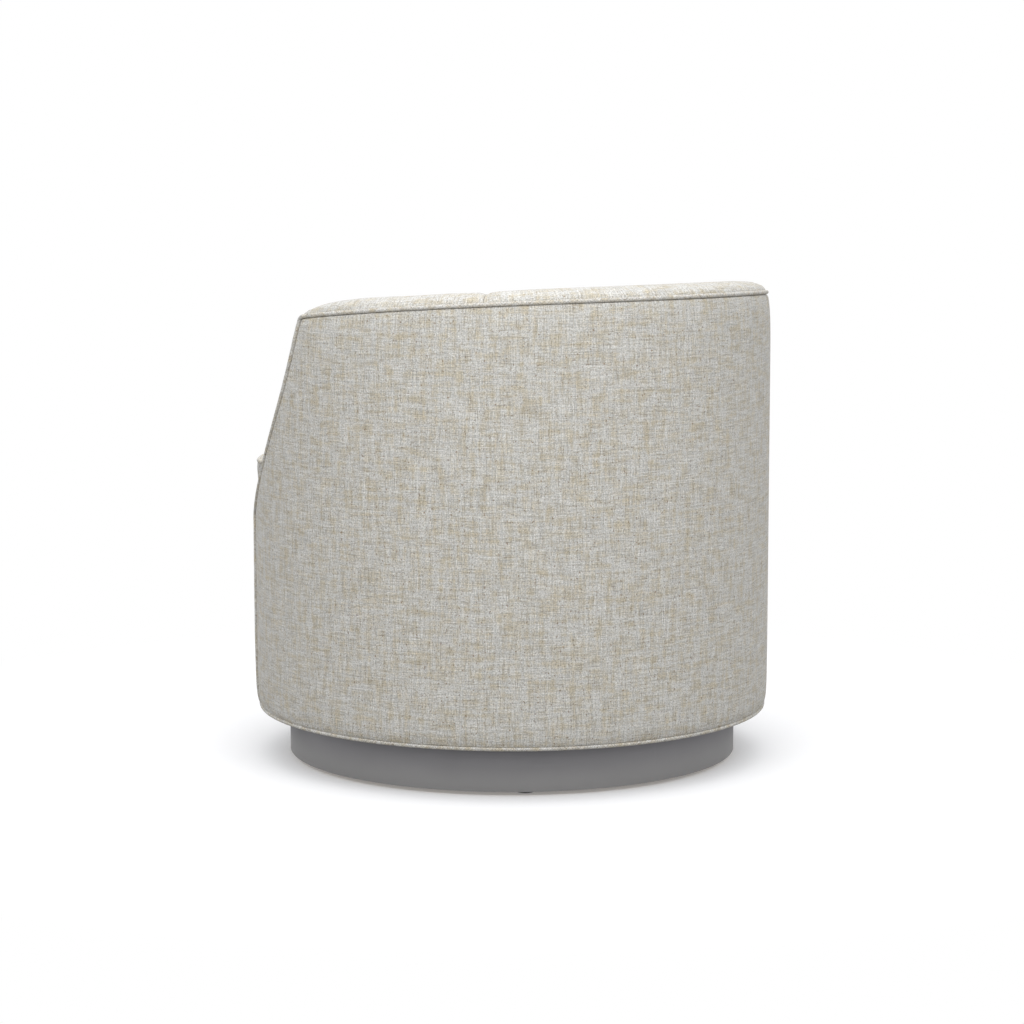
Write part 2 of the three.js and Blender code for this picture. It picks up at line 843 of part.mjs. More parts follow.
// A cushion welt follows the plan outside the boxing. Its ends nearly meet at the back.
function cushionWelt(height) {
  const count = cushionSegments;
  const edge = Array.from({ length: count }, (_, i) => {
    const turn = (i / count) * 2 * Math.PI;
    return at(...cushionPlace(turn > Math.PI ? turn - 2 * Math.PI : turn, 1, height));
  });
  const out = weltRadius + 4 * layerGap;
  const points = edge.map((point, i) => {
    const along = edge[(i + 1) % count].clone().sub(edge[(i + count - 1) % count]).normalize();
    return new THREE.Vector3(point.x - along.y * out, point.y + along.x * out, height);
  });
  const end = points[0].clone();
  points[0].x += clearance;
  points.push(end.setX(-clearance));
  return weltTube(points, count);
}

// A plan that follows the inside of the boards, and the round front beyond the arms
function deckPad() {
  const profile = [
    [0, deckBottom],
    [1, deckBottom],
    [1, deckTop],
    [0, deckTop],
  ];
  return bend(turned(profile, cushionSegments), (x, y, z) => {
    const turn = Math.atan2(x, y);
    const inFront = Math.abs(turn) > notchTurn + notchStep / 2;
    const reach = inFront ? barrelRadius - coverThickness - layerGap : padBack - clearance;
    return [Math.hypot(x, y) * reach, turn, z];
  });
}

function dustCover() {
  const top = baseBoardBottom - clearance;
  return ring(dustInner, frameRadius - dustRim, top - dustThickness, top);
}

function hemWelt() {
  const middle = coverBottom - clearance - weltRadius;
  return new THREE.TorusGeometry(barrelRadius - hemWeltInset, weltRadius, weltSides, roundSegments).translate(0, 0, middle);
}

// Where a spring's end bars lie, off the faces of the two spring rails
const endBarOff = springWire + clipSlack + clipWall + clearance;
const endBarHeight = railTop - springBelowRail;

// A sinuous spring: straight legs across, joined by round bends at alternate sides
function spring(x) {
  const back = backSpringRailY - endBarOff;
  const pitch = (frontSpringRailY + endBarOff - back) / springBends;
  const place = (leg, side) => {
    const rise = springCrown * Math.sin((leg / springBends) * Math.PI);
    return new THREE.Vector3(x + side * springHalfWidth, back + leg * pitch, endBarHeight + rise);
  };
  const extrudePath = new THREE.CurvePath();
  for (let leg = 0; leg <= springBends; leg += 1) {
    const side = leg % 2 ? -1 : 1;
    const end = place(leg, side);
    extrudePath.add(new THREE.LineCurve3(place(leg, -side), end));
    if (leg === springBends) break;
    const next = place(leg + 1, side);
    const swing = new THREE.Vector3((-side * pitch * 2) / 3, 0, 0);
    extrudePath.add(new THREE.CubicBezierCurve3(end, end.clone().add(swing), next.clone().add(swing), next));
  }
  return tube(springWire, wireSides, extrudePath, springBends * stepsPerBend);
}

// A bent steel clip, open at the top, that holds the end bar of a spring against a rail
function clip() {
  const inner = springWire + clipSlack;
  const outer = inner + clipWall;
  const outline = [
    [-outer, -outer],
    [outer, -outer],
    [outer, inner],
    [inner, inner],
    [inner, -inner],
    [-inner, -inner],
    [-inner, outer],
    [-outer, outer],
  ];
  const shape = new THREE.Shape(outline.map(([x, y]) => new THREE.Vector2(x, y)));
  const bar = new THREE.ExtrudeGeometry(shape, { depth: clipWidth, bevelEnabled: false });
  return bar.translate(0, 0, -clipWidth / 2).rotateX(Math.PI / 2).rotateZ(Math.PI / 2);
}

function suspension() {
  const group = new THREE.Group();
  for (let i = 0; i < springCount; i += 1) {
    const x = (i - (springCount - 1) / 2) * springPitch;
    group.add(part(`seat_spring_${i + 1}`, spring(x), springSteel()));
    const back = part(`back_spring_clip_${i + 1}`, clip(), zincSteel());
    back.position.set(x, backSpringRailY - endBarOff, endBarHeight);
    back.rotation.z = Math.PI;
    const front = part(`front_spring_clip_${i + 1}`, clip(), zincSteel());
    front.position.set(x, frontSpringRailY + endBarOff, endBarHeight);
    group.add(back, front);
  }
  return group;
}

function seatFrame() {
  const group = new THREE.Group();
  group.add(
    part("seat_base_board", baseBoard(), birchPly()),
    part("top_rail", topRail(), birchPly()),
    part("seat_hoop", seatHoop(), beech()),
    part("front_seat_rail", frontRail(), beech()),
    part("back_spring_rail", springRail(backSpringRailY, 1, hoopInner), beech()),
    part("front_spring_rail", springRail(frontSpringRailY, -1, frontRailInner), beech()),
    ...pair("back_post", post(backPostTurn), beech),
    ...pair("arm_post", post(armPostTurn), beech),
    ...pair("front_post", frontPost(), beech),
    part("outside_board", outsideBoard(), fibreboard()),
    part("inside_board", insideBoard(), fibreboard()),
    part("front_board", frontBoard(), fibreboard()),
  );
  return group;
}

function upholstery() {
  const group = new THREE.Group();
  const seam = seamTurn - seamGap / 2 / barrelRadius;
  const armStart = seamTurn + seamGap / 2 / barrelRadius;
  const arm = cut(insidePad(armStart, frontTurn, armPadSteps), [frontSpace(padSetback)]);
  group.add(
    part("deck_pad", deckPad(), deckCloth()),
    part("dust_cover", dustCover(), cambric()),
    part("inside_back_pad", insidePad(-seam, seam, backPadSteps), fabric()),
    ...pair("inside_arm_pad", arm, fabric),
    ...pair("arm_front_pad", armFrontPad(), fabric),
    part("outside_cover", outsideCover(), fabric()),
    part("front_cover", frontCover(), fabric()),
    part("rim_welt", rimWelt(), fabric()),
    part("hem_welt", hemWelt(), fabric()),
  );
  return group;
}

function looseCushion() {
  const group = new THREE.Group();
  group.add(
    part("seat_cushion", cushion(), fabric()),
    part("cushion_upper_welt", cushionWelt(deckTop + cushionBoxing), fabric()),
    part("cushion_lower_welt", cushionWelt(deckTop + clearance + weltInset), fabric()),
  );
  return group;
}

const chair = new THREE.Group();
chair.add(plinth());
chair.add(part("swivel_ball_ring", ballRing(), zincSteel()));
chair.add(upperSwivel(), seatFrame(), suspension(), upholstery(), looseCushion());

export default chair;
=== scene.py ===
# Swivel barrel chair: upholstery, welts and finishes over its packed construction.
# Metres, +Z up. The origin is on the floor under the swivel axis and the seat faces -Y.
# Turns are angles round the axis, counted from the middle of the back towards the sitter's left.
import json
import math

import bmesh
import bpy
import numpy as np
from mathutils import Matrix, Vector


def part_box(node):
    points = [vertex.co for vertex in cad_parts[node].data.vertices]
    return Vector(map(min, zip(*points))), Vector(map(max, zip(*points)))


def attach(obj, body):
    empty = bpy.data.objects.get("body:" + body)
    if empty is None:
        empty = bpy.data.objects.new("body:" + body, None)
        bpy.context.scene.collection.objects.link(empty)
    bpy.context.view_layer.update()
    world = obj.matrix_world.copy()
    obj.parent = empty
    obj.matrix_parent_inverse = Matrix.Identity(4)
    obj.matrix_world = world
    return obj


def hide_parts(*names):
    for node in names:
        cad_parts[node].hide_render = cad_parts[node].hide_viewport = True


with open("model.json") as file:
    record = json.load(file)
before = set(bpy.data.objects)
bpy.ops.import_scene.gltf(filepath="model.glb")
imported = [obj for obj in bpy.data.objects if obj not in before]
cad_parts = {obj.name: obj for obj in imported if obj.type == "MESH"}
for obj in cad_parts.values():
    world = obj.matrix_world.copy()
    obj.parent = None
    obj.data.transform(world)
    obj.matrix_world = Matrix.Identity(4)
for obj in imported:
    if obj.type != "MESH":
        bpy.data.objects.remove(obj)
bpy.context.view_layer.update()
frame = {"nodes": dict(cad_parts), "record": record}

# Camera
# A long lens at chest height, behind the chair's left arm and a little above the rim, looking
# slightly down at the swivel axis.
def placed(name, data):
    """A new object in the scene."""
    made = bpy.data.objects.new(name, data)
    bpy.context.scene.collection.objects.link(made)
    return made


CAMERA_TURN = math.radians(142)
CAMERA_AWAY = 4.616
CAMERA_HEIGHT = 0.964
CAMERA_DOWN = math.radians(7.31)
lens = bpy.data.cameras.new("camera")
lens.lens = 105.5
lens.sensor_width = 36
lens.clip_end = 60
camera = placed("camera", lens)
camera.location = (
    CAMERA_AWAY * math.sin(CAMERA_TURN),
    -CAMERA_AWAY * math.cos(CAMERA_TURN),
    CAMERA_HEIGHT,
)
camera.rotation_euler = (math.pi / 2 - CAMERA_DOWN, 0, CAMERA_TURN)
bpy.context.scene.camera = camera
bpy.context.scene.view_settings.view_transform = "Standard"


# Studio
# A wide pale floor under an even white sky, with one broad lamp high up behind the camera. The
# camera sees floor and sky as white paper, apart from the chair's own soft shadow.
def linear(code):
    """An sRGB hex colour as linear red, green, blue and alpha."""
    channels = [int(code[i : i + 2], 16) / 255 for i in (1, 3, 5)]
    return [c / 12.92 if c <= 0.04045 else ((c + 0.055) / 1.055) ** 2.4 for c in channels] + [1]


def add(tree, kind, inputs=(), **settings):
    """Adds one node. Inputs go by name or in order, and a node given as one is its first output."""
    made = tree.nodes.new(kind)
    for name, value in settings.items():
        setattr(made, name, value)
    for socket, value in inputs.items() if isinstance(inputs, dict) else enumerate(inputs):
        if isinstance(value, bpy.types.Node):
            value = value.outputs[0]
        if isinstance(value, bpy.types.NodeSocket):
            tree.links.new(value, made.inputs[socket])
        else:
            made.inputs[socket].default_value = value
    return made


def cleared(owner):
    """The empty node tree of a new material or world."""
    owner.use_nodes = True
    owner.node_tree.nodes.clear()
    return owner.node_tree


def seen_directly(tree):
    """1 for what the camera sees, straight, through glass or mirrored, and 0 for bounced light."""
    path = add(tree, "ShaderNodeLightPath").outputs
    seen = path["Is Camera Ray"]
    for other in (path["Is Glossy Ray"], path["Is Transmission Ray"]):
        seen = add(tree, "ShaderNodeMath", (seen, other), operation="MAXIMUM")
    return seen


# The sky is dark at the horizon and brightest overhead
SKY_HIGH = 1.73
world = bpy.data.worlds.new("overcast")
bpy.context.scene.world = world
sky = cleared(world)
sky_up = add(sky, "ShaderNodeSeparateXYZ", [add(sky, "ShaderNodeTexCoord").outputs["Generated"]])
sky_level = add(sky, "ShaderNodeMapRange", {"Value": sky_up.outputs["Z"], "To Max": SKY_HIGH})
sky_light = add(sky, "ShaderNodeBackground", {"Color": linear("#fbfcff"), "Strength": sky_level})
sky_paper = add(sky, "ShaderNodeBackground", {"Color": linear("#ffffff"), "Strength": 1.0})
sky_mix = add(sky, "ShaderNodeMixShader", (seen_directly(sky), sky_light, sky_paper))
add(sky, "ShaderNodeOutputWorld", [sky_mix])

LAMP_WIDTH = 2.5
LAMP_DEPTH = 0.9
LAMP_AWAY = 1.45
LAMP_HEIGHT = 1.5
LAMP_WATTS = 12.2
LAMP_TURN = CAMERA_TURN + math.radians(1)
LAMP_AIM = Vector((0, 0, 0.4))
lamp_data = bpy.data.lights.new("softbox", "AREA")
lamp_data.shape = "RECTANGLE"
lamp_data.size = LAMP_WIDTH
lamp_data.size_y = LAMP_DEPTH
lamp_data.energy = LAMP_WATTS
lamp = placed("softbox", lamp_data)
lamp.location = (LAMP_AWAY * math.sin(LAMP_TURN), -LAMP_AWAY * math.cos(LAMP_TURN), LAMP_HEIGHT)
lamp.rotation_euler = (LAMP_AIM - lamp.location).to_track_quat("-Z", "Y").to_euler()
lamp.visible_camera = False

# The floor is shaded near the chair and fades to plain paper further out
FLOOR_REACH = 30.0
FADE_START = 0.7
FADE_END = 1.2
floor_mesh = bpy.data.meshes.new("floor")
floor_corners = ((-1, -1), (1, -1), (1, 1), (-1, 1))
floor_corners = [(x * FLOOR_REACH, y * FLOOR_REACH, 0) for x, y in floor_corners]
floor_mesh.from_pydata(floor_corners, [], [(0, 1, 2, 3)])
floor = placed("floor", floor_mesh)
paper = bpy.data.materials.new("matt_white_paper_floor")
sheet = cleared(paper)
sheet_seen = add(sheet, "ShaderNodeBsdfDiffuse", {"Color": linear("#e6e6e6")})
sheet_glow = add(sheet, "ShaderNodeEmission", {"Color": linear("#ffffff"), "Strength": 0.23})
sheet_near = add(sheet, "ShaderNodeAddShader", (sheet_seen, sheet_glow))
sheet_open = add(sheet, "ShaderNodeEmission", {"Color": linear("#ffffff"), "Strength": 1.0})
sheet_place = add(sheet, "ShaderNodeTexCoord").outputs["Object"]
sheet_away = add(sheet, "ShaderNodeVectorMath", [sheet_place], operation="LENGTH")
sheet_fade = {"From Min": FADE_START, "From Max": FADE_END, "Value": sheet_away.outputs["Value"]}
sheet_fade = add(sheet, "ShaderNodeMapRange", sheet_fade, interpolation_type="SMOOTHSTEP")
sheet_glossy = add(sheet, "ShaderNodeLightPath").outputs["Is Glossy Ray"]
sheet_plain = add(sheet, "ShaderNodeMath", (sheet_fade, sheet_glossy), operation="MAXIMUM")
sheet_bright = add(sheet, "ShaderNodeMixShader", (sheet_plain, sheet_near, sheet_open))
sheet_bounce = add(sheet, "ShaderNodeBsdfDiffuse", {"Color": linear("#a5a4a2")})
sheet_mix = add(sheet, "ShaderNodeMixShader", (seen_directly(sheet), sheet_bounce, sheet_bright))
add(sheet, "ShaderNodeOutputMaterial", [sheet_mix])
floor_mesh.materials.append(paper)


# Cloth
# Upholstery cloth in a plain weave of oatmeal linen and pale polyester yarns. It is matt, and
# thick and thin yarns in both directions leave tan patches, brown slubs and pale streaks.
def woven_cloth(name, bias=0.0):
    """The chair's cloth. It reads the map "weave", which holds metres along weft and warp."""
    # The real threads are 0.5 mm apart. They are drawn 1 to 2 mm apart, because they wouldn't show.
    # Each panel's map starts at a place of its own, so that no two show the same slubs.
    cloth = bpy.data.materials.new(name)
    tree = cleared(cloth)
    metres = add(tree, "ShaderNodeUVMap", uv_map="weave")
    turn = {"Vector": metres, "Rotation": (0, 0, bias), "Scale": (1000, 1000, 1)}
    flat = add(tree, "ShaderNodeMapping", turn)
    aslant = add(tree, "ShaderNodeMapping", {"Vector": flat, "Rotation": (0, 0, math.radians(45))})

    def yarns(across, up, place=(0, 0, 0), on=flat, detail=1.0):
        """Noise with marks this many millimetres long across and up."""
        spread = {"Vector": on, "Location": place, "Scale": (1 / across, 1 / up, 1)}
        marks = add(tree, "ShaderNodeMapping", spread)
        noise = {"Vector": marks, "Scale": 1.0, "Detail": detail, "Roughness": 0.55}
        return add(tree, "ShaderNodeTexNoise", noise, noise_dimensions="2D")

    tan = (yarns(38, 9, (3, 60, 0), detail=2.0), yarns(9, 46, (80, 13, 0), detail=2.0))
    tan = add(tree, "ShaderNodeMath", tan, operation="ADD")
    tinted = linear("#d1d0cb")
    # Tan patches, pale yarns in weft and warp, darker yarns in weft and warp, specks and slubs
    for colour, marks, low, high, strength in (
        ("#c6bda8", tan, 0.80, 1.40, 1.0),
        ("#dddcd8", yarns(60, 4.5, (13, 27, 0)), 0.54, 0.72, 0.35),
        ("#dddcd8", yarns(4.5, 60, (44, 17, 0)), 0.54, 0.72, 0.35),
        ("#978b74", yarns(26, 1.8, (11, 40, 0)), 0.60, 0.78, 0.5),
        ("#978b74", yarns(1.8, 26, (50, 21, 0)), 0.60, 0.78, 0.5),
        ("#978b74", yarns(3.2, 2.6, (9, 33, 0)), 0.60, 0.74, 0.5),
        ("#82694a", yarns(4.0, 5.2, (19, 53, 0)), 0.69, 0.81, 0.7),
    ):
        span = {"Value": marks, "From Min": low, "From Max": high}
        shown = add(tree, "ShaderNodeMapRange", span, interpolation_type="SMOOTHSTEP")
        share = add(tree, "ShaderNodeMath", (shown, strength), operation="MULTIPLY")
        mixed = {"Factor": share, "A": tinted, "B": linear(colour)}
        tinted = add(tree, "ShaderNodeMix", mixed, data_type="RGBA").outputs["Result"]
    # Fibre grain, thick and thin weft and warp, and the lean of the twist
    threads = (
        (yarns(2.0, 2.0, (70, 3, 0)), 0.86),
        (yarns(42, 1.7), 0.43),
        (yarns(1.7, 42, (31, 7, 0)), 0.43),
        (yarns(3.2, 1.1, (5, 90, 0), on=aslant), 0.48),
    )
    relief = 1 - sum(depth for _, depth in threads) / 2
    for marks, depth in threads:
        relief = add(tree, "ShaderNodeMath", (marks, depth, relief), operation="MULTIPLY_ADD")
    shade = add(tree, "ShaderNodeCombineXYZ", (relief, relief, relief))
    colour = add(tree, "ShaderNodeVectorMath", (tinted, shade), operation="MULTIPLY")
    lifted = add(tree, "ShaderNodeBump", {"Height": relief, "Strength": 0.3, "Distance": 0.0006})
    surface = {"Base Color": colour, "Roughness": 0.92, "IOR": 1.45, "Normal": lifted}
    surface.update({"Sheen Weight": 0.12, "Sheen Roughness": 0.6})
    surface = add(tree, "ShaderNodeBsdfPrincipled", surface)
    add(tree, "ShaderNodeOutputMaterial", [surface])
    return cloth


panel_cloth = woven_cloth("oatmeal_linen_weave")
welt_cloth = woven_cloth("oatmeal_linen_weave_cut_on_the_bias", bias=math.radians(45))


# Outside cover
# One panel of cloth over thin wadding, from the left front edge round the back to the right. It is
# pulled down tight, sewn to the welt along the rim and both front edges, and stapled under the hem.
cover_low, cover_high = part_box("outside_cover")
BARREL = cover_high.y
HEM = cover_low.z
RIM = cover_high.z
RIM_DROP = 0.032
RIM_POWER = 2.2
SIDE_RIM = RIM - RIM_DROP
ARM_TOP_TURN = math.radians(90)
FRONT_TURN = math.radians(121)
KNEE = 0.375
SWEEP_STRAIGHT = 0.35
SWEEP_POWER = 1.9


def rim_at(turn):
    """Height of the rim seam."""
    share = np.minimum(np.abs(turn) / ARM_TOP_TURN, 1)
    return RIM - RIM_DROP * share**RIM_POWER


def edge_at(height):
    """Turn of a front edge at a height: upright below the knee, then swept back to the rim."""
    below = 1 - np.clip((height - KNEE) / (SIDE_RIM - KNEE), 0, 1)
    sweep = SWEEP_STRAIGHT * below + (1 - SWEEP_STRAIGHT) * below**SWEEP_POWER
    return ARM_TOP_TURN + (FRONT_TURN - ARM_TOP_TURN) * sweep


def fading(deep, away, reach):
    """A dip this deep at a seam, which fades over a reach away from it."""
    return deep * np.exp(-np.maximum(away, 0) / reach)


def hem_draw(height):
    """How far the cloth is pulled in above the hem, where it is stapled underneath."""
    return fading(0.0034, height - HEM, 0.008) + fading(0.0008, height - HEM, 0.030)


def edge_draw(height):
    """How much further the front seams are pulled in near the hem."""
    return fading(0.0026, height - HEM, 0.050)


def outside_at(height, turn):
    """Radius of the barrel, which draws in towards the rim and at the hem."""
    return BARREL - fading(0.0052, rim_at(turn) - height, 0.021) - hem_draw(height)


def ripple(along, pitch, seed):
    """Uneven gathers along a seam: waves of about this pitch that come and go."""
    base = 2 * math.pi * along / pitch
    swing = np.sin(base + seed) + 0.7 * np.sin(1.37 * base + 2.1 * seed)
    swing = swing + 0.5 * np.sin(0.61 * base - seed)
    return swing * (0.6 + 0.4 * np.sin(0.23 * base + 3 * seed)) / 2.2


def gathers(deep, along, pitch, seed, away, reach):
    """Ripples this deep along a seam, which fade over a reach away from it."""
    return fading(deep, away, reach) * ripple(along, pitch, seed)


def polar(radius, turn, height):
    """Points from radius, turn and height."""
    spots = np.broadcast_arrays(radius * np.sin(turn), radius * np.cos(turn), height)
    return np.stack(spots, axis=-1)


def gathered_steps(count, evenness=0.5):
    """Steps from 0 to 1 that lie closer together near both ends."""
    even = np.linspace(0, 1, count)
    return evenness * even + (1 - evenness) * (1 - np.cos(math.pi * even)) / 2


def creased(steps, whole):
    """Adds steps close to both ends of a piece this many metres long, where the cloth turns in."""
    close = np.array([0.0006, 0.0013, 0.0020, 0.0027, 0.0036]) / whole
    return np.sort(np.concatenate([steps, close, 1 - close]))


def face_outwards(mesh, join=False):
    """Turns all faces outwards, once points that lie on one another at a pole are joined."""
    shape = bmesh.new()
    shape.from_mesh(mesh)
    if join:
        bmesh.ops.remove_doubles(shape, verts=shape.verts, dist=1e-6)
    bmesh.ops.recalc_face_normals(shape, faces=shape.faces)
    shape.to_mesh(mesh)
    shape.free()


def mesh_object(name, points, faces, corners=None, material=None):
    """A smooth mesh with its weave map and material."""
    mesh = bpy.data.meshes.new(name)
    mesh.from_pydata(points.tolist(), [], faces)
    if corners is not None:
        weave = mesh.uv_layers.new(name="weave")
        weave.data.foreach_set("uv", np.asarray(corners, np.float32).ravel())
    face_outwards(mesh)
    mesh.shade_smooth()
    if material:
        mesh.materials.append(material)
    return placed(name, mesh)


def shell(name, outer, inner, weave, material, around=False, from_axis=False):
    """A closed panel between an outer and an inner sheet of points of equal rows and columns."""
    across, up = outer.shape[:2]
    points = np.concatenate([outer.reshape(-1, 3), inner.reshape(-1, 3)])
    back = across * up
    faces = []
    corners = []

    def face(*spots):
        faces.append([side * back + i * up + j for side, i, j in spots])
        corners.extend(weave[i, j] for _, i, j in spots)

    last, top = across - 1, up - 1
    for i in range(across if around else last):
        k = (i + 1) % across
        for j in range(top):
            face((0, i, j), (0, k, j), (0, k, j + 1), (0, i, j + 1))
            face((1, i, j), (1, i, j + 1), (1, k, j + 1), (1, k, j))
        face((0, i, top), (0, k, top), (1, k, top), (1, i, top))
        if not from_axis:
            face((0, i, 0), (1, i, 0), (1, k, 0), (0, k, 0))
    for j in range(0 if around else top):
        face((0, 0, j), (0, 0, j + 1), (1, 0, j + 1), (1, 0, j))
        face((0, last, j), (1, last, j), (1, last, j + 1), (0, last, j + 1))
    return mesh_object(name, points, faces, corners, material)


COVER_THICKNESS = 0.0052
COVER_COLUMNS = 321
COVER_ROWS = 90
EDGE_LAP = 0.0020
UNDER_WELT = 0.0034
UNDER_RIM_WELT = 0.0008
CREASE = 0.0011
CREASE_DEPTH = 0.0047
CREASE_PITCH = 0.019
CREASE_SWING = 0.4
EDGE_DRAW_REACH = 0.040

rise = creased(gathered_steps(COVER_ROWS, 0.35), RIM - HEM)[None, :]
across = creased(gathered_steps(COVER_COLUMNS, 0.7), 2 * BARREL * FRONT_TURN)[:, None]
level = HEM + (SIDE_RIM - HEM) * rise
turn = (2 * across - 1) * (edge_at(level) + EDGE_LAP / BARREL)
height = HEM + (rim_at(turn) - HEM) * rise
from_edge = (edge_at(level) - np.abs(turn)) * BARREL + EDGE_LAP
below_rim = rim_at(turn) - height
along = turn * BARREL
base = outside_at(height, turn) - fading(edge_draw(height), from_edge, EDGE_DRAW_REACH)
edge_crease = CREASE * (1 + CREASE_SWING * ripple(height, CREASE_PITCH, 21.0))
rim_crease = CREASE * (1 + CREASE_SWING * ripple(along, CREASE_PITCH, 22.0))
creases = fading(CREASE_DEPTH, from_edge - UNDER_WELT, edge_crease)
creases = creases + fading(CREASE_DEPTH, below_rim - UNDER_RIM_WELT, rim_crease)
radius = base - np.minimum(creases, CREASE_DEPTH)
radius = radius + gathers(0.00035, along, 0.034, 1.0, below_rim, 0.030)
radius = radius + gathers(0.00035, along, 0.041, 2.0, height - HEM, 0.035)
radius = radius + gathers(0.0003, height, 0.038, 3.0, from_edge, 0.030)
waves = ripple(along + 0.4 * height, 0.31, 4.0) * ripple(height, 0.27, 5.0)
outer = polar(radius + 0.0005 * waves, turn, height)
inner = polar(base - COVER_THICKNESS, turn, height)
weave = np.stack([along, height], axis=-1)
barrel_cloth = shell("outside_cover_cloth", outer, inner, weave, panel_cloth)
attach(barrel_cloth, "seat")
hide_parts("outside_cover")


# Front cover
# The panel below the seat, from one front welt to the other. It runs over the front rail on to
# the deck, and is stapled under the hem like the outside cover.
FRONT_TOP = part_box("front_cover")[1].z
FRONT_START = FRONT_TURN + 0.0032 / BARREL
TOP_DRAW = 0.0040
TOP_DRAW_REACH = 0.0045

rise = creased(gathered_steps(60, 0.4), FRONT_TOP - HEM)[None, :]
width = 2 * math.pi - 2 * FRONT_START
turn = FRONT_START + width * creased(gathered_steps(181, 0.7), BARREL * width)[:, None]
height = HEM + (FRONT_TOP - HEM) * rise
along = turn * BARREL
from_edge = np.minimum(turn - FRONT_START, 2 * math.pi - FRONT_START - turn) * BARREL
base = BARREL - hem_draw(height) - fading(edge_draw(height), from_edge, EDGE_DRAW_REACH)
radius = base - fading(CREASE_DEPTH, from_edge - UNDER_WELT, CREASE)
radius = radius - fading(TOP_DRAW, FRONT_TOP - height, TOP_DRAW_REACH)
radius = radius + gathers(0.0003, along, 0.036, 6.0, FRONT_TOP - height, 0.030)
radius = radius + gathers(0.00035, along, 0.041, 7.0, height - HEM, 0.035)
outer = polar(radius, turn, height)
inner = polar(base - COVER_THICKNESS, turn, height)
weave = np.stack(np.broadcast_arrays(along, height + 0.9), axis=-1)
front_cloth = shell("front_cover_cloth", outer, inner, weave, panel_cloth)
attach(front_cloth, "seat")
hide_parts("front_cover")


# Welts
# Cotton cord in a bias strip of the same cloth. One welt runs up the left front edge, round the
# rim and down the right front edge, and another round the hem.
WELT = 0.003
LUMPS_PER_METRE = 60.0


def geometry_tree(name, inputs, output):
    """An empty tree with named inputs and one output, and its inputs' sockets."""
    tree = bpy.data.node_groups.new(name, "GeometryNodeTree")
    for label, kind in inputs.items():
        tree.interface.new_socket(label, in_out="INPUT", socket_type=f"NodeSocket{kind}")
    tree.interface.new_socket(output, in_out="OUTPUT", socket_type="NodeSocketGeometry")
    return tree, add(tree, "NodeGroupInput").outputs


def cord_tree():
    """Sweeps a round cord along a line of points and lays the weave map on it, in metres."""
    inputs = {"Line": "Geometry", "Radius": "Float", "Sides": "Int"}
    inputs.update({"Unevenness": "Float", "Cloth": "Material"})
    tree, given = geometry_tree("cord_along_a_line", inputs, "Cord")
    spline = add(tree, "GeometryNodeSplineParameter").outputs

    def kept(curve, value):
        """Keeps a number of each point, to be read again on the swept mesh."""
        keep = add(tree, "GeometryNodeCaptureAttribute", [curve])
        keep.capture_items.new("FLOAT", "number")
        tree.links.new(value, keep.inputs[1])
        return keep.outputs[0], keep.outputs[1]

    def unwrapped(value, whole):
        """Adds a whole round to the corners past the place where the count starts again."""
        middle = add(tree, "GeometryNodeFieldOnDomain", [value], domain="FACE")
        behind = add(tree, "ShaderNodeMath", (middle, value), operation="SUBTRACT")
        quarter = add(tree, "ShaderNodeMath", (whole, 0.25), operation="MULTIPLY")
        restarted = add(tree, "ShaderNodeMath", (behind, quarter), operation="GREATER_THAN")
        return add(tree, "ShaderNodeMath", (restarted, whole, value), operation="MULTIPLY_ADD")

    line = add(tree, "GeometryNodeMeshToCurve", [given["Line"]])
    line, along = kept(line, spline["Length"])
    line, length = kept(line, add(tree, "GeometryNodeSplineLength").outputs[0])
    lumps = add(tree, "ShaderNodeMath", (along, LUMPS_PER_METRE), operation="MULTIPLY")
    lumps = {"W": lumps, "Scale": 1.0, "Detail": 1.0}
    lumps = add(tree, "ShaderNodeTexNoise", lumps, noise_dimensions="1D")
    lumps = add(tree, "ShaderNodeMath", (lumps, 0.5), operation="SUBTRACT")
    swell = (lumps, given["Unevenness"], 1.0)
    swell = add(tree, "ShaderNodeMath", swell, operation="MULTIPLY_ADD")
    ring = {"Resolution": given["Sides"], "Radius": given["Radius"]}
    ring, around = kept(add(tree, "GeometryNodeCurvePrimitiveCircle", ring), spline["Length"])
    swept = {"Curve": line, "Profile Curve": ring, "Scale": swell, "Fill Caps": True}
    cord = add(tree, "GeometryNodeCurveToMesh", swept)
    girth = add(tree, "ShaderNodeMath", (given["Radius"], 2 * math.pi), operation="MULTIPLY")
    place = (unwrapped(along, length), unwrapped(around, girth))
    mapped = {"Geometry": cord, "Name": "weave", "Value": add(tree, "ShaderNodeCombineXYZ", place)}
    settings = {"data_type": "FLOAT2", "domain": "CORNER"}
    mapped = add(tree, "GeometryNodeStoreNamedAttribute", mapped, **settings)
    smooth = add(tree, "GeometryNodeSetShadeSmooth", [mapped])
    solid = add(tree, "GeometryNodeRealizeInstances", [smooth])
    sewn = {"Geometry": solid, "Material": given["Cloth"]}
    add(tree, "NodeGroupOutput", [add(tree, "GeometryNodeSetMaterial", sewn)])
    return tree


def keep_plain(piece):
    """Keeps what a piece's modifiers make as its own plain mesh."""
    evaluated = piece.evaluated_get(bpy.context.evaluated_depsgraph_get())
    made = bpy.data.meshes.new_from_object(evaluated)
    piece.modifiers.clear()
    old, piece.data = piece.data, made
    bpy.data.meshes.remove(old)


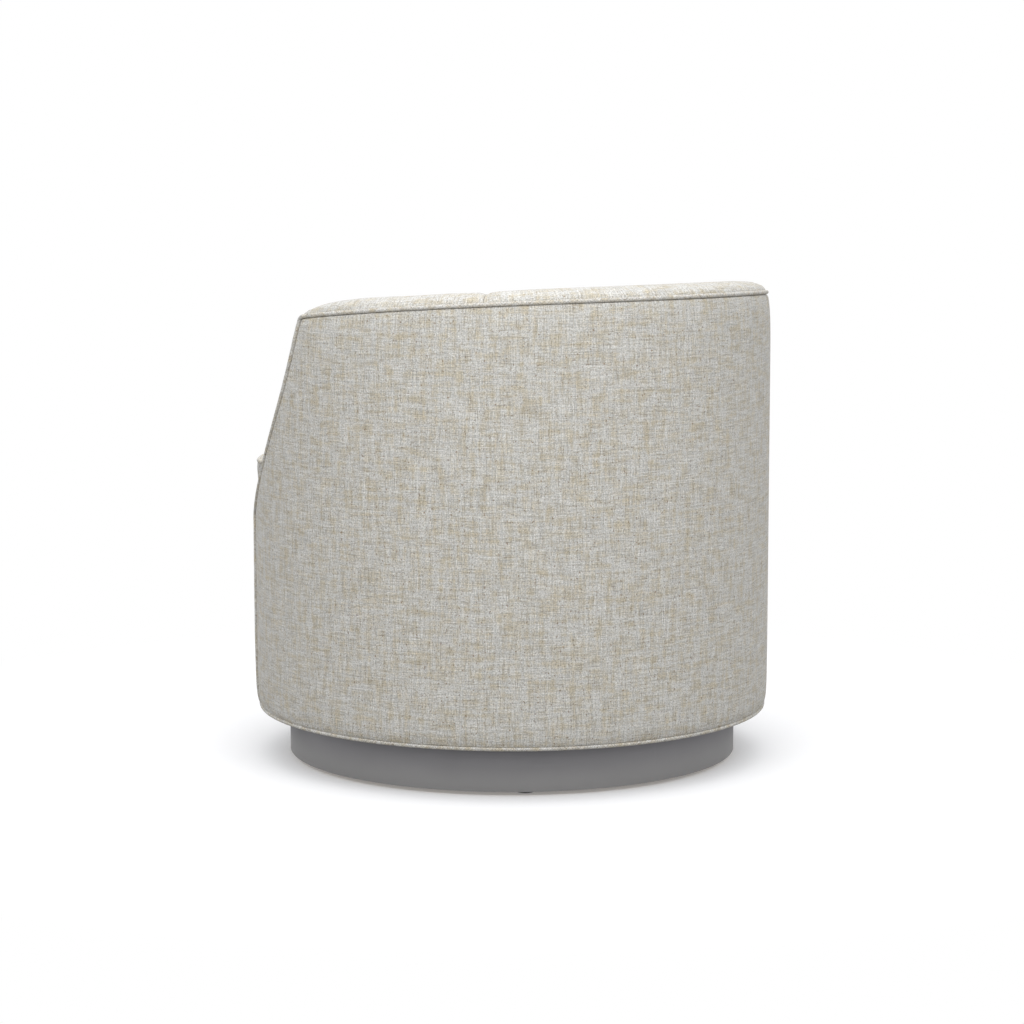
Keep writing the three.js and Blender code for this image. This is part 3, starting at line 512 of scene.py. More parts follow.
def grown(name, tree, path, closed=False, **sizes):
    """Runs a node tree along a line of points and keeps the result as a plain mesh."""
    count = len(path)
    links = [(i, (i + 1) % count) for i in range(count if closed else count - 1)]
    mesh = bpy.data.meshes.new(name)
    mesh.from_pydata(path.tolist(), links, [])
    piece = placed(name, mesh)
    nodes = piece.modifiers.new("nodes", "NODES")
    nodes.node_group = tree
    for socket in tree.interface.items_tree:
        if socket.in_out == "INPUT" and socket.name in sizes:
            nodes[socket.identifier] = sizes[socket.name]
    keep_plain(piece)
    return piece


welt_nodes = cord_tree()
welt_sizes = {"Radius": WELT, "Sides": 14, "Unevenness": 0.09, "Cloth": welt_cloth}
RIM_LIFT = 0.0021
FRONT_LIFT = 0.0026
LOW_PROUD = 0.0003
HIGH_PROUD = -0.0015
PROUD_CHANGE = 0.07
CORNER_BEND = 0.007
WELT_START = HEM + 0.001


def middle_height(node):
    """Height of the middle of a CAD node."""
    low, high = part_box(node)
    return (low.z + high.z) / 2


def rounded(before, after, corner):
    """Points of a round bend between two points, towards the corner that they would make."""
    share = np.linspace(0, 1, 9)[1:-1, None]
    return (1 - share) ** 2 * before + 2 * share * (1 - share) * corner + share**2 * after


heights = WELT_START + (SIDE_RIM - CORNER_BEND - WELT_START) * gathered_steps(150)
front_lift = FRONT_LIFT / BARREL
proud = np.interp(heights, (KNEE, KNEE + PROUD_CHANGE), (LOW_PROUD, HIGH_PROUD))
radius = outside_at(heights, ARM_TOP_TURN) + proud - edge_draw(heights)
up = polar(radius, edge_at(heights) + front_lift, heights)
turns = np.linspace(ARM_TOP_TURN - CORNER_BEND / BARREL, 0, 130)
radius = outside_at(rim_at(turns), turns) + HIGH_PROUD
over = polar(radius, turns, rim_at(turns) + RIM_LIFT)
corner_turn = np.array([ARM_TOP_TURN + front_lift])
corner = polar(outside_at(SIDE_RIM, ARM_TOP_TURN), corner_turn, SIDE_RIM + RIM_LIFT)
left = np.concatenate([up, rounded(up[-1:], over[:1], corner), over])
right = left[:-1][::-1] * (-1, 1, 1)
rim_cord = grown("rim_welt_cord", welt_nodes, np.concatenate([left, right]), **welt_sizes)

turns = np.linspace(0, 2 * math.pi, 480, endpoint=False)
path = polar(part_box("hem_welt")[1].y - WELT, turns, middle_height("hem_welt"))
hem_cord = grown("hem_welt_cord", welt_nodes, path, closed=True, **welt_sizes)
for cord_piece, node in ((rim_cord, "rim_welt"), (hem_cord, "hem_welt")):
    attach(cord_piece, "seat")
    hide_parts(node)


# Inside back and arms
# Foam faced with wadding and covered with cloth. Each panel rolls over the top rail to the rim
# welt, and a seam on each side joins the back to the arms, where the padding dips.
PAD_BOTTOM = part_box("inside_back_pad")[0].z
PAD_BACK = 0.3384
PAD_THICKNESS = 0.046
BACK_LEAN = 0.075
LEAN_TURN = math.radians(84)
SEAM_TURN = math.radians(44)
SEAM_HALF = 0.0003
WELT_LINE = 0.3907
ROLL_LENGTH = 0.050
ROLL_END_SHARE = 0.52
ROLL_FRONT_SHARE = 0.72
ROLL_SWELL = 0.11
PAD_ROWS = 110
FACE_HOLLOW = 0.003
RAIL_OUT = 0.3790
RAIL_DOWN = 0.0068
# Places over the top rail, as metres inside the welt and metres above the rim seam
ROLL_OVER = (
    (0.0980, -0.032),
    (0.0960, -0.014),
    (0.0905, 0.0010),
    (0.0800, 0.0108),
    (0.0660, 0.0160),
    (0.0500, 0.0184),
    (0.0380, 0.0187),
    (0.0240, 0.0179),
    (0.0115, 0.0142),
    (0.0060, 0.0104),
    (0.0028, 0.0062),
    (0.0022, 0.0035),
    (0.0030, 0.0010),
)


def smooth_line(points, count):
    """A Catmull-Rom curve through points, in even steps of its length."""
    points = np.asarray(points, float)
    ends = [2 * points[0] - points[1], *points, 2 * points[-1] - points[-2]]
    fine = []
    t = np.linspace(0, 1, 12, endpoint=False)[:, None]
    for a, b, c, d in zip(ends, ends[1:], ends[2:], ends[3:]):
        curve = 2 * b + (c - a) * t + (2 * a - 5 * b + 4 * c - d) * t**2
        fine.append((curve + (3 * b - a - 3 * c + d) * t**3) / 2)
    fine = np.concatenate([*fine, points[-1:]])
    length = np.concatenate([[0], np.cumsum(np.linalg.norm(np.diff(fine, axis=0), axis=1))])
    even = np.linspace(0, length[-1], count)
    return np.stack([np.interp(even, length, column) for column in fine.T], axis=-1)


def lean_at(turn):
    """How far the foot of the inside face comes forward, most in the middle of the back."""
    share = np.minimum(np.abs(turn) / LEAN_TURN, 1)
    return BACK_LEAN * np.cos(share * math.pi / 2) ** 2


def dimple(deep, away, reach):
    """A rounded dip this deep, which is gone a little past its reach."""
    return deep * np.exp(-((away / reach) ** 2))


def roll_share(turn):
    """Height of the roll: it dips at the seams and falls away at the front of the arms."""
    from_seam = (np.abs(turn) - SEAM_TURN) * BARREL
    valley = dimple(0.12, from_seam, 0.008) + fading(0.08, np.abs(from_seam), 0.002)
    valley = valley + dimple(0.06, from_seam, 0.045)
    from_front = (ARM_TOP_TURN - np.abs(turn)) * BARREL
    along = np.clip(from_front / ROLL_LENGTH, 0, 4)
    rise = ROLL_FRONT_SHARE + (1 - ROLL_FRONT_SHARE) * (1 - (1 - np.minimum(along, 1)) ** 2)
    rise = rise - fading(ROLL_FRONT_SHARE - ROLL_END_SHARE, from_front, 0.0026)
    rise = rise + ROLL_SWELL * np.sin(along * math.pi / 4) ** 2
    return rise * (1 - valley)


def inside_pad(name, start, end, columns):
    """A panel from one turn to another. End None is the sloping front edge of the left arm."""
    outer, inner, weave = (np.zeros((columns, PAD_ROWS, size)) for size in (3, 3, 2))

    def turn_at(level, share):
        last = edge_at(level) - 0.0004 / BARREL if end is None else end
        return start + (last - start) * share

    for i, share in enumerate(gathered_steps(columns, 0.55)):
        line = []
        for level in np.linspace(PAD_BOTTOM, SIDE_RIM - 0.050, 9):
            turn = turn_at(level, share)
            up = (level - PAD_BOTTOM) / (SIDE_RIM - PAD_BOTTOM)
            hollow = FACE_HOLLOW * np.sin(math.pi * up)
            radius = PAD_BACK - PAD_THICKNESS - hollow - lean_at(turn) * (1 - up)
            line.append((radius, turn, PAD_BOTTOM + up * (rim_at(turn) - PAD_BOTTOM)))
        for inward, above in ROLL_OVER:
            turn = turn_at(SIDE_RIM + min(above, 0), share)
            lift = above * roll_share(turn) if above > 0.001 else above
            up = min((rim_at(turn) + above - PAD_BOTTOM) / (rim_at(turn) - PAD_BOTTOM), 1)
            depth = max(inward - (WELT_LINE - PAD_BACK), 0) * lean_at(turn) * (1 - up)
            line.append((WELT_LINE - inward - depth / PAD_THICKNESS, turn, rim_at(turn) + lift))
        radius, turn, height = smooth_line(line, PAD_ROWS).T
        rim = rim_at(turn)
        last = edge_at(height) if end is None else end
        to_end = np.minimum(np.abs(turn - start), np.abs(turn - last)) * PAD_BACK
        on_face = np.clip((rim - 0.004 - height) / 0.02, 0, 1)
        seams = dimple(0.0040, to_end, 0.009) + fading(0.0025, to_end, 0.0025)
        pulls = gathers(0.0009, height, 0.045, 9.0 + start, to_end, 0.028)
        pulls = pulls + 0.0006 * ripple(turn * PAD_BACK + height, 0.21, 10.0)
        radius = radius + on_face * (seams + pulls)
        outer[i] = polar(radius, turn, height)
        over_rail = np.clip((radius - PAD_BACK) / 0.04, 0, 1)
        back = PAD_BACK - 0.0004 + over_rail * (RAIL_OUT - PAD_BACK)
        past_rail = np.clip((radius - RAIL_OUT - 0.001) / 0.006, 0, 1) * (height > rim)
        back = back + past_rail * (radius - 0.0012 - back)
        under = np.minimum(height, rim - RAIL_DOWN)
        under = under + past_rail * (rim + 0.0008 - under)
        inner[i] = polar(back, turn, under)
        steps = np.linalg.norm(np.diff(outer[i], axis=0), axis=1)
        weave[i, :, 0] = turn * 0.36
        weave[i, :, 1] = np.concatenate([[0], np.cumsum(steps)]) + 1.7
    return shell(name, outer, inner, weave, panel_cloth)


def mirror_image(piece, name):
    """The same piece on the sitter's right, with its faces turned back outwards."""
    mesh = piece.data.copy()
    mesh.name = name
    for vertex in mesh.vertices:
        vertex.co.x = -vertex.co.x
    mesh.flip_normals()
    return placed(name, mesh)


seam = SEAM_TURN - SEAM_HALF / BARREL
back_pad = inside_pad("inside_back_cushioned", -seam, seam, 150)
arm_pad = inside_pad("inside_arm_cushioned_left", SEAM_TURN + SEAM_HALF / BARREL, None, 120)
arm_pad_right = mirror_image(arm_pad, "inside_arm_cushioned_right")
for pad_piece, node in (
    (back_pad, "inside_back_pad"),
    (arm_pad, "inside_arm_pad_left"),
    (arm_pad_right, "inside_arm_pad_right"),
):
    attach(pad_piece, "seat")
    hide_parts(node)


# Arm fronts
# A padded strip down the front of each arm, from the inside face to the front welt. Its top
# follows the end of the roll, and it swells between its seams.
ARM_FRONT_COLUMNS = 41
ARM_FRONT_ROWS = 120
ARM_SWELL = 0.0185
TOP_SWELL_SHARE = 0.28
NARROWING = 0.060
CLOSING = 0.010
STRIP_SKIN = 0.0008
WELT_GAP = 0.0023
TOP_WELT_GAP = 0.0040
LAP_START = 0.0048
LAP_BLEND = 0.0012
LAP_RISE = 0.0028
LAP_UNDER = 0.0026

shape = (ARM_FRONT_COLUMNS, ARM_FRONT_ROWS)
outer, inner, weave = (np.zeros((*shape, size)) for size in (3, 3, 2))
near = PAD_BACK - PAD_THICKNESS
far_top = outside_at(SIDE_RIM, ARM_TOP_TURN) - TOP_WELT_GAP
roll_end = [(inward - WELT_LINE, above * ROLL_END_SHARE) for inward, above in ROLL_OVER[::-1]]
for i, share in enumerate(gathered_steps(ARM_FRONT_COLUMNS, 0.3)):
    lift = np.interp(-(near + (far_top - near) * share), *np.transpose(roll_end))
    top = SIDE_RIM + max(lift, -0.004) - 0.0006
    heights = np.linspace(PAD_BOTTOM, top, ARM_FRONT_ROWS)
    far = outside_at(np.minimum(heights, SIDE_RIM), ARM_TOP_TURN) - WELT_GAP
    far = far - (TOP_WELT_GAP - WELT_GAP) * np.clip((heights - SIDE_RIM + 0.02) / 0.02, 0, 1)
    to_top = np.clip((top - heights) / NARROWING, 0, 1)
    swell = TOP_SWELL_SHARE + (1 - TOP_SWELL_SHARE) * np.sin(to_top * math.pi / 2)
    closing = np.sqrt(np.clip((top - heights) / CLOSING, 0, 1))
    crown = (1 - abs(2 * share - 1) ** 3.2) ** 0.62
    forward = STRIP_SKIN + ARM_SWELL * swell * crown * (0.15 + 0.85 * closing)
    forward = forward + 0.0007 * ripple(heights, 0.043, 12.0) * crown * (1 - crown) * 4
    radius = near + (far - near) * share
    under_welt = np.clip((radius - far + LAP_START) / LAP_BLEND, 0, 1)
    under_welt = under_welt * (heights < SIDE_RIM - 0.006)
    forward = np.maximum(forward, STRIP_SKIN + LAP_RISE * under_welt)
    outer[i] = polar(radius, edge_at(heights) + forward / radius, heights)
    inner[i] = polar(radius, edge_at(heights) + LAP_UNDER * under_welt / radius, heights)
    weave[i, :, 0] = radius + 0.4 + 0.006 * crown
    weave[i, :, 1] = heights + 0.35
front_pad = shell("arm_front_cushioned_left", outer, inner, weave, panel_cloth)
front_pad_right = mirror_image(front_pad, "arm_front_cushioned_right")
for pad_piece, side in ((front_pad, "left"), (front_pad_right, "right")):
    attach(pad_piece, "seat")
    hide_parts(f"arm_front_pad_{side}")


# Seat cushion
# A loose foam cushion in a zipped case: crowned above, flat below, with boxing between its two
# welts. It fills the seat between the arms and has an ear in front of each arm.
cushion_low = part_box("seat_cushion")[0]
UPPER_WELT = middle_height("cushion_upper_welt")
LOWER_WELT = middle_height("cushion_lower_welt")
CUSHION_RADIUS = 0.0028 - cushion_low.y
CUSHION_FIT = 0.014
NOTCH_TURN = math.radians(120)
NOTCH_STEP = math.radians(5)
EAR_SPREAD = math.radians(40)
EAR_ROOM = 0.0185
CROWN = 0.024


def cushion_at(turn, share, height):
    """A point of the cushion: a share of the way out from the axis, at a turn and height."""
    beside = PAD_BACK - PAD_THICKNESS - 0.0015 - lean_at(turn) - CUSHION_FIT
    past_notch = (np.abs(turn) - NOTCH_TURN) / NOTCH_STEP
    ear_share = np.interp(past_notch, (0, 1, 2), (0, 0.88, 1))
    reach = beside + (CUSHION_RADIUS - beside) * ear_share
    fade = np.clip(1 - np.abs(np.abs(turn) - NOTCH_TURN) / EAR_SPREAD, 0, 1)
    slope = FRONT_TURN - edge_at(height)
    room = (EAR_ROOM + CUSHION_FIT) / CUSHION_RADIUS
    shifted = turn + np.sign(turn) * (room - slope) * np.sin(fade * math.pi / 2)
    return polar(share * reach, shifted, height)


def eased(line, rounds):
    """Rounds the corners of a closed line."""
    for _ in range(rounds):
        line = (np.roll(line, 1, axis=0) + 2 * line + np.roll(line, -1, axis=0)) / 4
    return line


def plain_cushion():
    """The case before it is filled out, as rings from the middle below to the middle above."""
    segments = 216
    turns = np.linspace(-math.pi, math.pi, segments, endpoint=False)
    boxing = UPPER_WELT - LOWER_WELT
    rings = [(share, cushion_low.z) for share in (0.15, 0.3, 0.45, 0.6, 0.75, 0.88, 0.97)]
    rings += [(1.002, cushion_low.z + 0.003), (1.012, LOWER_WELT)]
    rings += [(1.014, LOWER_WELT + boxing * up) for up in (0.15, 0.35, 0.5, 0.65, 0.85)]
    rings += [(1.012, UPPER_WELT), (1.005, UPPER_WELT + 0.0022)]
    for share in (0.97, 0.9, 0.8, 0.65, 0.5, 0.35, 0.2, 0.1):
        rise = 0.55 * (1 - share**2.6) + 0.45 * (1 - share**14)
        rings.append((share, UPPER_WELT + 0.0022 + CROWN * 0.66 * rise))
    points = [eased(cushion_at(turns, share, height), 3) for share, height in rings]
    points = np.concatenate([*points, [[0, 0, cushion_low.z], [0, 0, UPPER_WELT + CROWN * 0.72]]])
    top = (len(rings) - 1) * segments
    faces = []
    for i in range(segments):
        after = (i + 1) % segments
        faces.append([len(points) - 2, after, i])
        faces.append([len(points) - 1, top + i, top + after])
        for k in range(0, top, segments):
            faces.append([k + i, k + after, k + segments + after, k + segments + i])
    return mesh_object("seat_cushion_filled", points, faces)


def welt_ring(height, out):
    """The line of a cushion welt, outside the boxing."""
    turns = np.linspace(-math.pi, math.pi, 720, endpoint=False)
    line = eased(cushion_at(turns, 1.0, height), 30)
    ahead = np.roll(line, -1, axis=0) - np.roll(line, 1, axis=0)
    ahead /= np.linalg.norm(ahead, axis=1)[:, None]
    return line + out * np.stack([-ahead[:, 1], ahead[:, 0], 0 * ahead[:, 0]], axis=-1)


def fill_out(piece, pinned, cap):
    """Blows the case up like foam pressing on cloth, and keeps the seams and the flat underside."""
    start = np.array([v.co for v in piece.data.vertices])
    pins = piece.vertex_groups.new(name="seams")
    pins.add([int(i) for i in np.flatnonzero(pinned)], 1.0, "REPLACE")
    filling = piece.modifiers.new("filling", "CLOTH")
    cloth = {"quality": 6, "mass": 0.35, "bending_stiffness": 1.5, "shear_stiffness": 8}
    cloth.update({"tension_stiffness": 22, "compression_stiffness": 22, "use_pressure": True})
    cloth.update({"uniform_pressure_force": 4.0, "vertex_group_mass": "seams"})
    for name, value in cloth.items():
        setattr(filling.settings, name, value)
    filling.settings.effector_weights.gravity = 0
    filling.point_cache.frame_start = 1
    filling.point_cache.frame_end = 20
    scene = bpy.context.scene
    for step in range(1, 21):
        scene.frame_set(step)
    evaluated = piece.evaluated_get(bpy.context.evaluated_depsgraph_get())
    moved = np.array([v.co for v in evaluated.data.vertices]) - start
    piece.modifiers.remove(filling)
    scene.frame_set(1)
    piece.vertex_groups.clear()
    reach = np.linalg.norm(moved, axis=1)
    final = start + moved * np.minimum(1, cap / np.maximum(reach, 1e-9))[:, None]
    final[:, 2] = np.maximum(final[:, 2], cushion_low.z)
    piece.data.vertices.foreach_set("co", final.astype(np.float32).ravel())
    piece.data.update()


def weave_cushion(mesh):
    """Lays the cloth's map: flat on top and underside, and along the boxing."""
    weave = mesh.uv_layers.new(name="weave")
    values = np.zeros((len(mesh.loops), 2), np.float32)
    for face in mesh.polygons:
        upright = abs(face.normal.z) < 0.55
        upright = upright and LOWER_WELT - 0.004 < face.center.z < UPPER_WELT + 0.004
        middle = math.atan2(face.center.x, -face.center.y)
        for loop in face.loop_indices:
            x, y, z = mesh.vertices[mesh.loops[loop].vertex_index].co
            if upright:
                turn = math.atan2(x, -y)
                turn += 2 * math.pi * round((middle - turn) / (2 * math.pi))
                values[loop] = (turn * 0.34 + 3.1, z + 0.2)
            else:
                values[loop] = (x + 5.3, y + 0.8)
    weave.data.foreach_set("uv", values.ravel())


# Even quads, as cloth needs. The seams stay where they are, and the rest gives this much.
QUAD = 0.007
SEAM_REACH = 0.006
CROWN_GIVE = 0.022
SIDE_GIVE = 0.006
cushion = plain_cushion()
even_quads = cushion.modifiers.new("even_quads", "REMESH")
even_quads.mode = "VOXEL"
even_quads.voxel_size = QUAD
keep_plain(cushion)
cushion_points = np.array([v.co for v in cushion.data.vertices])
seam_lines = np.concatenate([welt_ring(height, 0.002) for height in (UPPER_WELT, LOWER_WELT)])
nearest = np.array([np.min(np.linalg.norm(seam_lines - p, axis=1)) for p in cushion_points])
gives = np.where(cushion_points[:, 2] > UPPER_WELT, CROWN_GIVE, SIDE_GIVE)
fill_out(cushion, nearest < SEAM_REACH, gives)
finer = cushion.modifiers.new("finer", "SUBSURF")
finer.levels = 1
finer.render_levels = 1
keep_plain(cushion)
cushion.data.shade_smooth()
weave_cushion(cushion.data)
cushion.data.materials.clear()
cushion.data.materials.append(panel_cloth)
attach(cushion, "cushion")
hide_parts("seat_cushion")
for place, height in (("upper", UPPER_WELT), ("lower", LOWER_WELT)):
    path = welt_ring(height, 0.0019)
    cord_piece = grown(f"cushion_{place}_cord", welt_nodes, path, closed=True, **welt_sizes)
    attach(cord_piece, "cushion")
    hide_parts(f"cushion_{place}_welt")


# Deck
# The platform under the cushion: hessian and felt over the springs, covered with lining cloth
# and stapled to the rails. It is slightly dished where people sit.
deck_low, deck_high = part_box("deck_pad")


def mottled(name, light, dark, noise, lift, spread=(0, 1), size=(1, 1, 1), fine=None, **surface):
    """A finish that wanders between two colours, with a relief of this strength and depth."""
    made = bpy.data.materials.new(name)
    tree = cleared(made)
    place = {"Vector": add(tree, "ShaderNodeTexCoord").outputs["Object"], "Scale": size}
    place = add(tree, "ShaderNodeMapping", place)
    marks = add(tree, "ShaderNodeTexNoise", {"Vector": place, **noise})
    relief = add(tree, "ShaderNodeTexNoise", {"Vector": place, **fine}) if fine else marks
    share = {"Value": marks, "From Min": spread[0], "From Max": spread[1]}
    share = add(tree, "ShaderNodeMapRange", share)
    colour = {"Factor": share, "A": linear(dark), "B": linear(light)}
    colour = add(tree, "ShaderNodeMix", colour, data_type="RGBA").outputs["Result"]
    lifted = {"Height": relief, "Strength": lift[0], "Distance": lift[1]}
    surface.update({"Base Color": colour, "Normal": add(tree, "ShaderNodeBump", lifted)})
    surface = add(tree, "ShaderNodeBsdfPrincipled", surface)
    add(tree, "ShaderNodeOutputMaterial", [surface])
    return made


def plain_cloth(name, light, dark, thread_mm):
    """A plain, even, matt cloth with no slubs. Its threads are drawn as coarse as they show."""
    noise = {"Scale": 1000 / thread_mm, "Detail": 2.0, "Roughness": 0.6}
    return mottled(name, light, dark, noise, (0.3, 0.0004), (0.3, 0.7), Roughness=0.95)


lining_cloth = plain_cloth("bleached_cotton_lining", "#cfcbc0", "#b3aea1", 2.0)
DISH = 0.004

turns = np.linspace(-math.pi, math.pi, 360, endpoint=False)[:, None]
shares = np.linspace(0, 1, 40)[None, :]
in_front = np.abs(turns) > FRONT_TURN - math.radians(0.5)
reach = shares * np.where(in_front, BARREL - COVER_THICKNESS - 0.0010, PAD_BACK - 0.0006)
creasing = 0.0006 * ripple(reach, 0.11, 13.0) * (1 - shares)
height = deck_high.z - DISH * (1 - shares**2) + creasing
outer = polar(reach, turns, height)
inner = polar(reach, turns, deck_low.z)
deck_piece = shell(
    "deck_cloth", outer, inner, outer[:, :, :2], lining_cloth, around=True, from_axis=True
)
face_outwards(deck_piece.data, join=True)
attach(deck_piece, "seat")
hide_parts("deck_pad")


# Dust cover
# Black non-woven cloth across the underside, cut to a ring round the swivel. Its outer edge is
# turned in and stapled to the base board close to the hem, and it sags a little in between.
dust_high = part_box("dust_cover")[1]
DUST_OUTER = dust_high.y
DUST_INNER = 0.190
DUST_SAG = 0.0024
DUST_FOLD = 0.020
CAMBRIC_THICKNESS = 0.0005
FOLD_THICKNESS = 0.0004
cambric_cloth = plain_cloth("black_non_woven_cambric", "#2b2b2e", "#1a1a1c", 3.0)

turns = np.linspace(-math.pi, math.pi, 360, endpoint=False)[:, None]
along = turns * DUST_OUTER
shares = gathered_steps(60, 0.6)[None, :]
radius = DUST_INNER + (DUST_OUTER - DUST_INNER) * shares
hang = DUST_SAG * np.sin(math.pi * shares) * (1 + 0.2 * ripple(along, 0.31, 14.0))
turned_in = FOLD_THICKNESS * (radius > DUST_OUTER - DUST_FOLD)
pucker = gathers(0.0003, along, 0.036, 15.0, 1 - shares, 0.06)
under = dust_high.z - 0.0008 - hang - turned_in + pucker
outer = polar(radius, turns, under)
inner = polar(radius, turns, under + CAMBRIC_THICKNESS + turned_in)
dust_piece = shell("dust_cover_cloth", outer, inner, outer[:, :, :2], cambric_cloth, around=True)
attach(dust_piece, "seat")
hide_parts("dust_cover")


# Staples
# Galvanised wire staples through the turned-in edge of the dust cover, every 45 mm. They sit as
# the gun left them, each turned a little off the line.
def plated_steel(name, light, dark, roughness):
    """Plated or drawn steel: bright, with a faint crystalline mottle."""
    noise = {"Scale": 220.0, "Detail": 3.0}
    return mottled(name, light, dark, noise, (0.1, 0.0001), Metallic=1.0, Roughness=roughness)


def staples_tree():
    """Sets a wire staple, crown down and legs up, at every pitch along a line of points."""
    inputs = {"Line": "Geometry", "Steel": "Material"}
    inputs.update(dict.fromkeys(("Pitch", "Crown", "Leg", "Wire", "Slant"), "Float"))
    tree, given = geometry_tree("staples_along_a_line", inputs, "Staples")
    corner = add(tree, "GeometryNodeInputIndex")
    corner = add(tree, "ShaderNodeMath", (corner, 1.5), operation="SUBTRACT")
    side = add(tree, "ShaderNodeMath", [corner], operation="SIGN")
    side = add(tree, "ShaderNodeMath", (side, 0.5), operation="MULTIPLY")
    across = add(tree, "ShaderNodeMath", (side, given["Crown"]), operation="MULTIPLY")
    tip = add(tree, "ShaderNodeMath", [corner], operation="ABSOLUTE")
    tip = add(tree, "ShaderNodeMath", (tip, 1.0), operation="GREATER_THAN")
    up = add(tree, "ShaderNodeMath", (tip, given["Leg"]), operation="MULTIPLY")
    row = add(tree, "GeometryNodeMeshLine", {"Count": 4})
    bent = {"Geometry": row, "Position": add(tree, "ShaderNodeCombineXYZ", (across, 0.0, up))}
    wire = add(tree, "GeometryNodeMeshToCurve", [add(tree, "GeometryNodeSetPosition", bent)])
    ring = {"Resolution": 8, "Radius": given["Wire"]}
    ring = add(tree, "GeometryNodeCurvePrimitiveCircle", ring)
    staple = {"Curve": wire, "Profile Curve": ring, "Fill Caps": True}
    staple = add(tree, "GeometryNodeCurveToMesh", staple)
    line = add(tree, "GeometryNodeMeshToCurve", [given["Line"]])
    spots = {"Curve": line, "Length": given["Pitch"]}
    spots = add(tree, "GeometryNodeResampleCurve", spots, mode="LENGTH")
    least = add(tree, "ShaderNodeMath", (given["Slant"], -1.0), operation="MULTIPLY")
    slant = {"Min": least, "Max": given["Slant"], "Seed": 7}
    slant = add(tree, "FunctionNodeRandomValue", slant, data_type="FLOAT").outputs["Value"]
    aimed = {"Vector": add(tree, "GeometryNodeInputTangent"), "Angle": slant}
    aimed = add(tree, "ShaderNodeVectorRotate", aimed, rotation_type="Z_AXIS")
    aimed = add(tree, "FunctionNodeAlignRotationToVector", {"Vector": aimed}, axis="X")
    stapled = {"Points": spots, "Instance": staple, "Rotation": aimed}
    stapled = add(tree, "GeometryNodeInstanceOnPoints", stapled)
    solid = add(tree, "GeometryNodeRealizeInstances", [stapled])
    plated = {"Geometry": solid, "Material": given["Steel"]}
    add(tree, "NodeGroupOutput", [add(tree, "GeometryNodeSetMaterial", plated)])
    return tree


zinc_plate = plated_steel("bright_zinc_plate", "#b4b6b9", "#8f9194", 0.38)
staple_sizes = {"Pitch": 0.045, "Crown": 0.010, "Leg": 0.005, "Wire": 0.0005, "Slant": 0.14}
staple_turns = np.linspace(0, 2 * math.pi, 360, endpoint=False)
staple_line = polar(DUST_OUTER - 0.008, staple_turns, dust_high.z - 0.0020)
staples = grown(
    "dust_cover_staples", staples_tree(), staple_line, closed=True, Steel=zinc_plate, **staple_sizes
)
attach(staples, "seat")


# Plinth skin
# Steel sheet, brushed along its length and rolled round the wooden hoop. Its edges are turned in
# slightly at top and bottom.
band_low, band_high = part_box("plinth_band")
BAND_RADIUS = 0.3456
BAND_WALL = 0.0012
BAND_ROUND = 0.0003
FLOOR_LIGHT_RISE = 0.060


def brushed_steel(name):
    """Satin steel with fine marks that run round the band, and painted floor light low down."""
    steel = bpy.data.materials.new(name)
    tree = cleared(steel)
    metres = add(tree, "ShaderNodeUVMap", uv_map="weave")
    marks = add(tree, "ShaderNodeMapping", {"Vector": metres, "Scale": (14, 900, 1)})
    streaks = {"Vector": marks, "Scale": 1.0, "Detail": 3.0, "Roughness": 0.6}
    streaks = add(tree, "ShaderNodeTexNoise", streaks, noise_dimensions="2D")
    clouds = {"Vector": metres, "Scale": 9.0, "Detail": 3.0, "Roughness": 0.5}
    clouds = add(tree, "ShaderNodeTexNoise", clouds, noise_dimensions="2D")
    clouds = add(tree, "ShaderNodeMath", (clouds, 0.4), operation="MULTIPLY")
    both = add(tree, "ShaderNodeMath", (streaks, 0.6, clouds), operation="MULTIPLY_ADD")
    share = add(tree, "ShaderNodeMapRange", {"Value": both, "From Min": 0.3, "From Max": 0.7})
    clean = {"Factor": share, "A": linear("#8f8e91"), "B": linear("#9c9b9e")}
    clean = add(tree, "ShaderNodeMix", clean, data_type="RGBA").outputs["Result"]
    # Painted light: towards its foot the band turns paler and less metallic, a painted reflection
    # of the bright floor.
    above_floor = add(tree, "ShaderNodeSeparateXYZ", [metres]).outputs["Y"]
    painted_floor_light = {"Value": above_floor, "From Max": FLOOR_LIGHT_RISE, "To Min": 0.6, "To Max": 0.0}
    painted_floor_light = add(tree, "ShaderNodeMapRange", painted_floor_light, interpolation_type="SMOOTHSTEP")
    floor_lit_steel = {"Factor": painted_floor_light, "A": clean, "B": linear("#b9b8b6")}
    floor_lit_steel = add(tree, "ShaderNodeMix", floor_lit_steel, data_type="RGBA").outputs["Result"]
    dull = {"Value": streaks, "From Min": 0.3, "From Max": 0.7, "To Min": 0.62, "To Max": 0.74}
    dull = add(tree, "ShaderNodeMapRange", dull)
    lifted = add(tree, "ShaderNodeBump", {"Height": streaks, "Strength": 0.06, "Distance": 0.0002})
    metal_share = add(tree, "ShaderNodeMath", (0.8, painted_floor_light), operation="SUBTRACT")
    surface = {"Base Color": floor_lit_steel, "Metallic": metal_share, "Roughness": dull, "Normal": lifted}
    surface["Specular Tint"] = linear("#8f8f90")
    surface = add(tree, "ShaderNodeBsdfPrincipled", surface)
    add(tree, "ShaderNodeOutputMaterial", [surface])
    return steel


